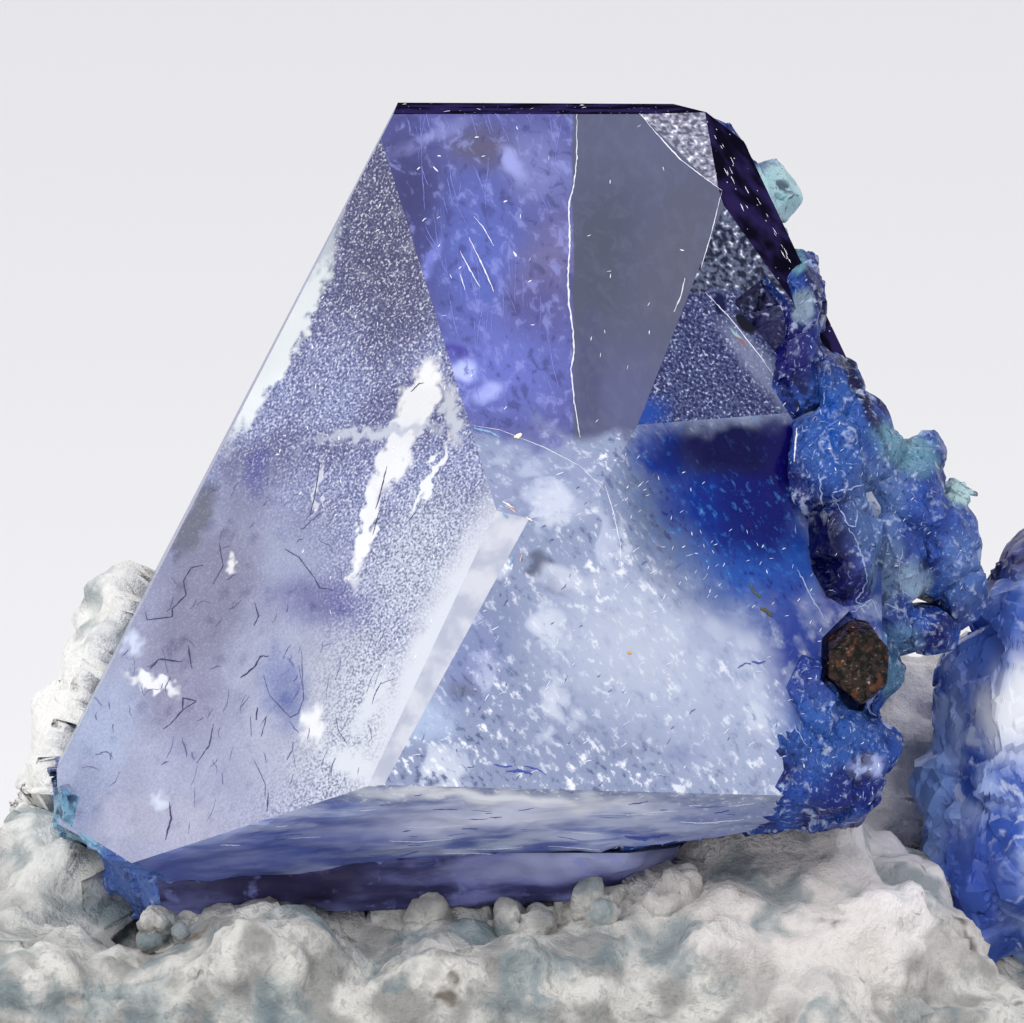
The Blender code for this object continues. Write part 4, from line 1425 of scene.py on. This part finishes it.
@dataclass
class Crumbs:
    """Small crumbs of rock along the line where the large crystal sits on the matrix."""

    line: tuple[Pixel, ...] = ((150, 912), (235, 916), (400, 910), (500, 908), (575, 896), (640, 886), (690, 868))
    count: int = 120
    deep: Pixel = (2.2, 4.6)
    size: Pixel = (0.12, 0.34)
    drop: Pixel = (0.05, 0.5)
    seed: int = 8

    def build(self, finish: Finish) -> bpy.types.Object:
        """Lay rough balls of rock along the line and join them."""
        chance = random.Random(self.seed)
        deselect()
        made = []
        for i in range(self.count):
            part = chance.uniform(0.0, len(self.line) - 1.001)
            start, end = self.line[int(part)], self.line[int(part) + 1]
            right, up = VIEW.mm(tuple(a + (b - a) * (part % 1.0) for a, b in zip(start, end)))
            place = VIEW.place(right, up - chance.uniform(*self.drop), chance.uniform(*self.deep))
            size = chance.uniform(*self.size)
            bpy.ops.mesh.primitive_ico_sphere_add(subdivisions=3, radius=size * MM, location=place)
            ball = bpy.context.object
            for vert in ball.data.vertices:
                spot = (vert.co + place) / MM
                height, _ = facets(spot, 0.28, 0.9)
                vert.co *= 1.0 + 0.5 * noise.noise(spot * 2.0) + height / size
            made.append(ball)
        for ball in made:
            ball.select_set(True)
        bpy.context.view_layer.objects.active = made[0]
        bpy.ops.object.join()
        bpy.ops.object.transform_apply(location=True, rotation=True, scale=True)
        bpy.ops.object.shade_smooth()
        self.thing = bpy.context.object
        self.thing.name = "rock_crumbs"
        self.thing.data.materials.append(finish.material)
        return self.thing

    def dress(self) -> None:
        """Declare that the crumbs belong to the rock."""
        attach(self.thing, "root")


@dataclass
class SideCrystal:
    """The second benitoite crystal."""

    fine: float = 0.14

    def build(self) -> bpy.types.Object:
        """Copy the solid and split it finely."""
        self.thing = copy_of("side_crystal", "second_crystal")
        self.thing.data.materials.append(self.finish().material)
        refine(self.thing, {0: self.fine})
        moves = []
        for vert in self.thing.data.vertices:
            spot = vert.co / MM
            large, _ = facets(spot, 1.3, 0.34)
            small, _ = facets(spot + 0.2 * noise.noise_vector(spot), 0.45, 0.40)
            moves.append(vert.normal * (large + small) * MM)
        for vert, move in zip(self.thing.data.vertices, moves):
            vert.co += move
        return self.thing

    def finish(self) -> Finish:
        """Make the deep blue crystal with white clouds and a grey-violet top."""
        f = Finish("second_benitoite")
        edge = f.ragged(0.3, 1.8)
        body = f.mix(f.ramp(f.noise(1.3, 5.0), 0.38, 0.62), shade(62, 94, 182), shade(156, 176, 224))
        body = f.mix(f.ramp(f.noise(3.2, 4.0, edge), 0.56, 0.68, 0.0, 0.8), body, shade(190, 200, 228))
        body = f.paint(
            body,
            (
                Spot((1012, 700), (34, 50), shade(240, 243, 250), 0, 0.6),
                Spot((985, 640), (30, 50), shade(90, 124, 212), 20, 0.7),
                Spot((935, 800), (20, 60), shade(132, 164, 226), 0, 0.7),
                Spot((975, 900), (40, 60), shade(70, 98, 190), 0, 0.7),
            ),
            edge,
        )
        body = f.mix(f.above(582, 26, f.ragged(0.8, 1.4)), body, f.mix(f.ramp(f.noise(3.0, 4.0), 0.42, 0.60), shade(34, 36, 88), shade(88, 94, 150)))
        f.colour(body)
        f.clear(f.see_through_dark(body, 0.16), 0.16, (0.35, 0.5, 0.95), 90.0)
        return f

    def dress(self) -> None:
        """Declare what the crystal stands for."""
        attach(self.thing, "root")
        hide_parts("side_crystal")


@dataclass
class BrownGrain:
    """The small brown-black crystal."""

    def build(self) -> bpy.types.Object:
        """Copy the solid."""
        self.thing = copy_of("neptunite_crystal", "brown_crystal")
        self.thing.data.materials.append(self.finish().material)
        refine(self.thing, {0: 0.05})
        moves = []
        for vert in self.thing.data.vertices:
            height, _ = facets(vert.co / MM, 0.13, 0.35)
            moves.append(vert.normal * height * MM)
        for vert, move in zip(self.thing.data.vertices, moves):
            vert.co += move
        return self.thing

    def finish(self) -> Finish:
        """Make the granular brown-black finish, with painted glints."""
        f = Finish("brown_black_grain")
        fine = f.noise(9.0, 2.0)
        colour = f.mix(f.ramp(fine, 0.40, 0.58), shade(3, 2, 2), shade(42, 30, 24))
        colour = f.mix(f.ramp(f.noise(5.0, 2.0), 0.58, 0.68, 0.0, 0.35), colour, shade(120, 70, 42))
        # Painted glints: light flecks on the grain.
        f.colour(f.mix(f.ramp(fine, 0.66, 0.76, 0.0, 0.7), colour, shade(170, 150, 136)))
        f.drive("Roughness", 0.25)
        f.shader.inputs["Specular IOR Level"].default_value = 0.2
        return f

    def dress(self) -> None:
        """Declare what the crystal stands for."""
        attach(self.thing, "root")
        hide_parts("neptunite_crystal")


@dataclass
class Studio:
    """The pale floor and the soft lights."""

    floor_size: float = 6.0
    pale: Colour = (0.80, 0.80, 0.815)

    def build(self) -> None:
        """Add the floor, the sky light and the lamps."""
        deselect()
        bpy.ops.mesh.primitive_plane_add(size=self.floor_size)
        floor = bpy.context.object
        floor.name = "floor"
        f = Finish("pale_floor")
        f.colour(self.pale)
        f.drive("Roughness", 0.9)
        floor.data.materials.append(f.material)
        world = bpy.data.worlds.new("soft_sky")
        world.use_nodes = True
        sky = world.node_tree.nodes["Background"]
        sky.inputs["Color"].default_value = (0.98, 0.98, 1.0, 1.0)
        sky.inputs["Strength"].default_value = 0.90
        bpy.context.scene.world = world
        self.lamp("key", (-0.10, -0.20, 0.20), 0.12, 0.38)
        self.lamp("fill", (0.12, -0.20, 0.30), 0.08, 0.15)
        bpy.context.scene.view_settings.view_transform = "Standard"

    def lamp(self, name: str, place: tuple[float, float, float], size: float, power: float) -> None:
        """Add a soft square lamp that points at the specimen."""
        bpy.ops.object.light_add(type="AREA", location=place)
        light = bpy.context.object
        light.name = name
        light.data.size = size
        light.data.energy = power
        light.visible_camera = False
        aim = Vector((0.0, 0.0, 0.009)) - Vector(place)
        light.rotation_euler = aim.to_track_quat("-Z", "Y").to_euler()


def main() -> None:
    """Build and dress the specimen, piece by piece."""
    noise.seed_set(NOISE_SEED)
    VIEW.make_camera()
    Studio().build()
    crystal = LargeCrystal()
    rock = Rock()
    for piece in (crystal, SideCrystal(), BrownGrain(), rock):
        made = piece.build()
        piece.dress()
        log.info("%s: %d faces", made.name, len(made.data.polygons))
    crumbs = Crumbs()
    crumbs.build(rock.rock)
    crumbs.dress()
    skin = Skin(crystal.thing)
    glints = tuple(Markings(name, colour, drawn) for name, (colour, drawn) in RAINBOW_GLINTS.items())
    for kind in KINDS + glints:
        made = kind.build(skin)
        kind.dress()
        log.info("%s: %d faces", made.name, len(made.data.polygons))


if __name__ == "__main__":
    main()
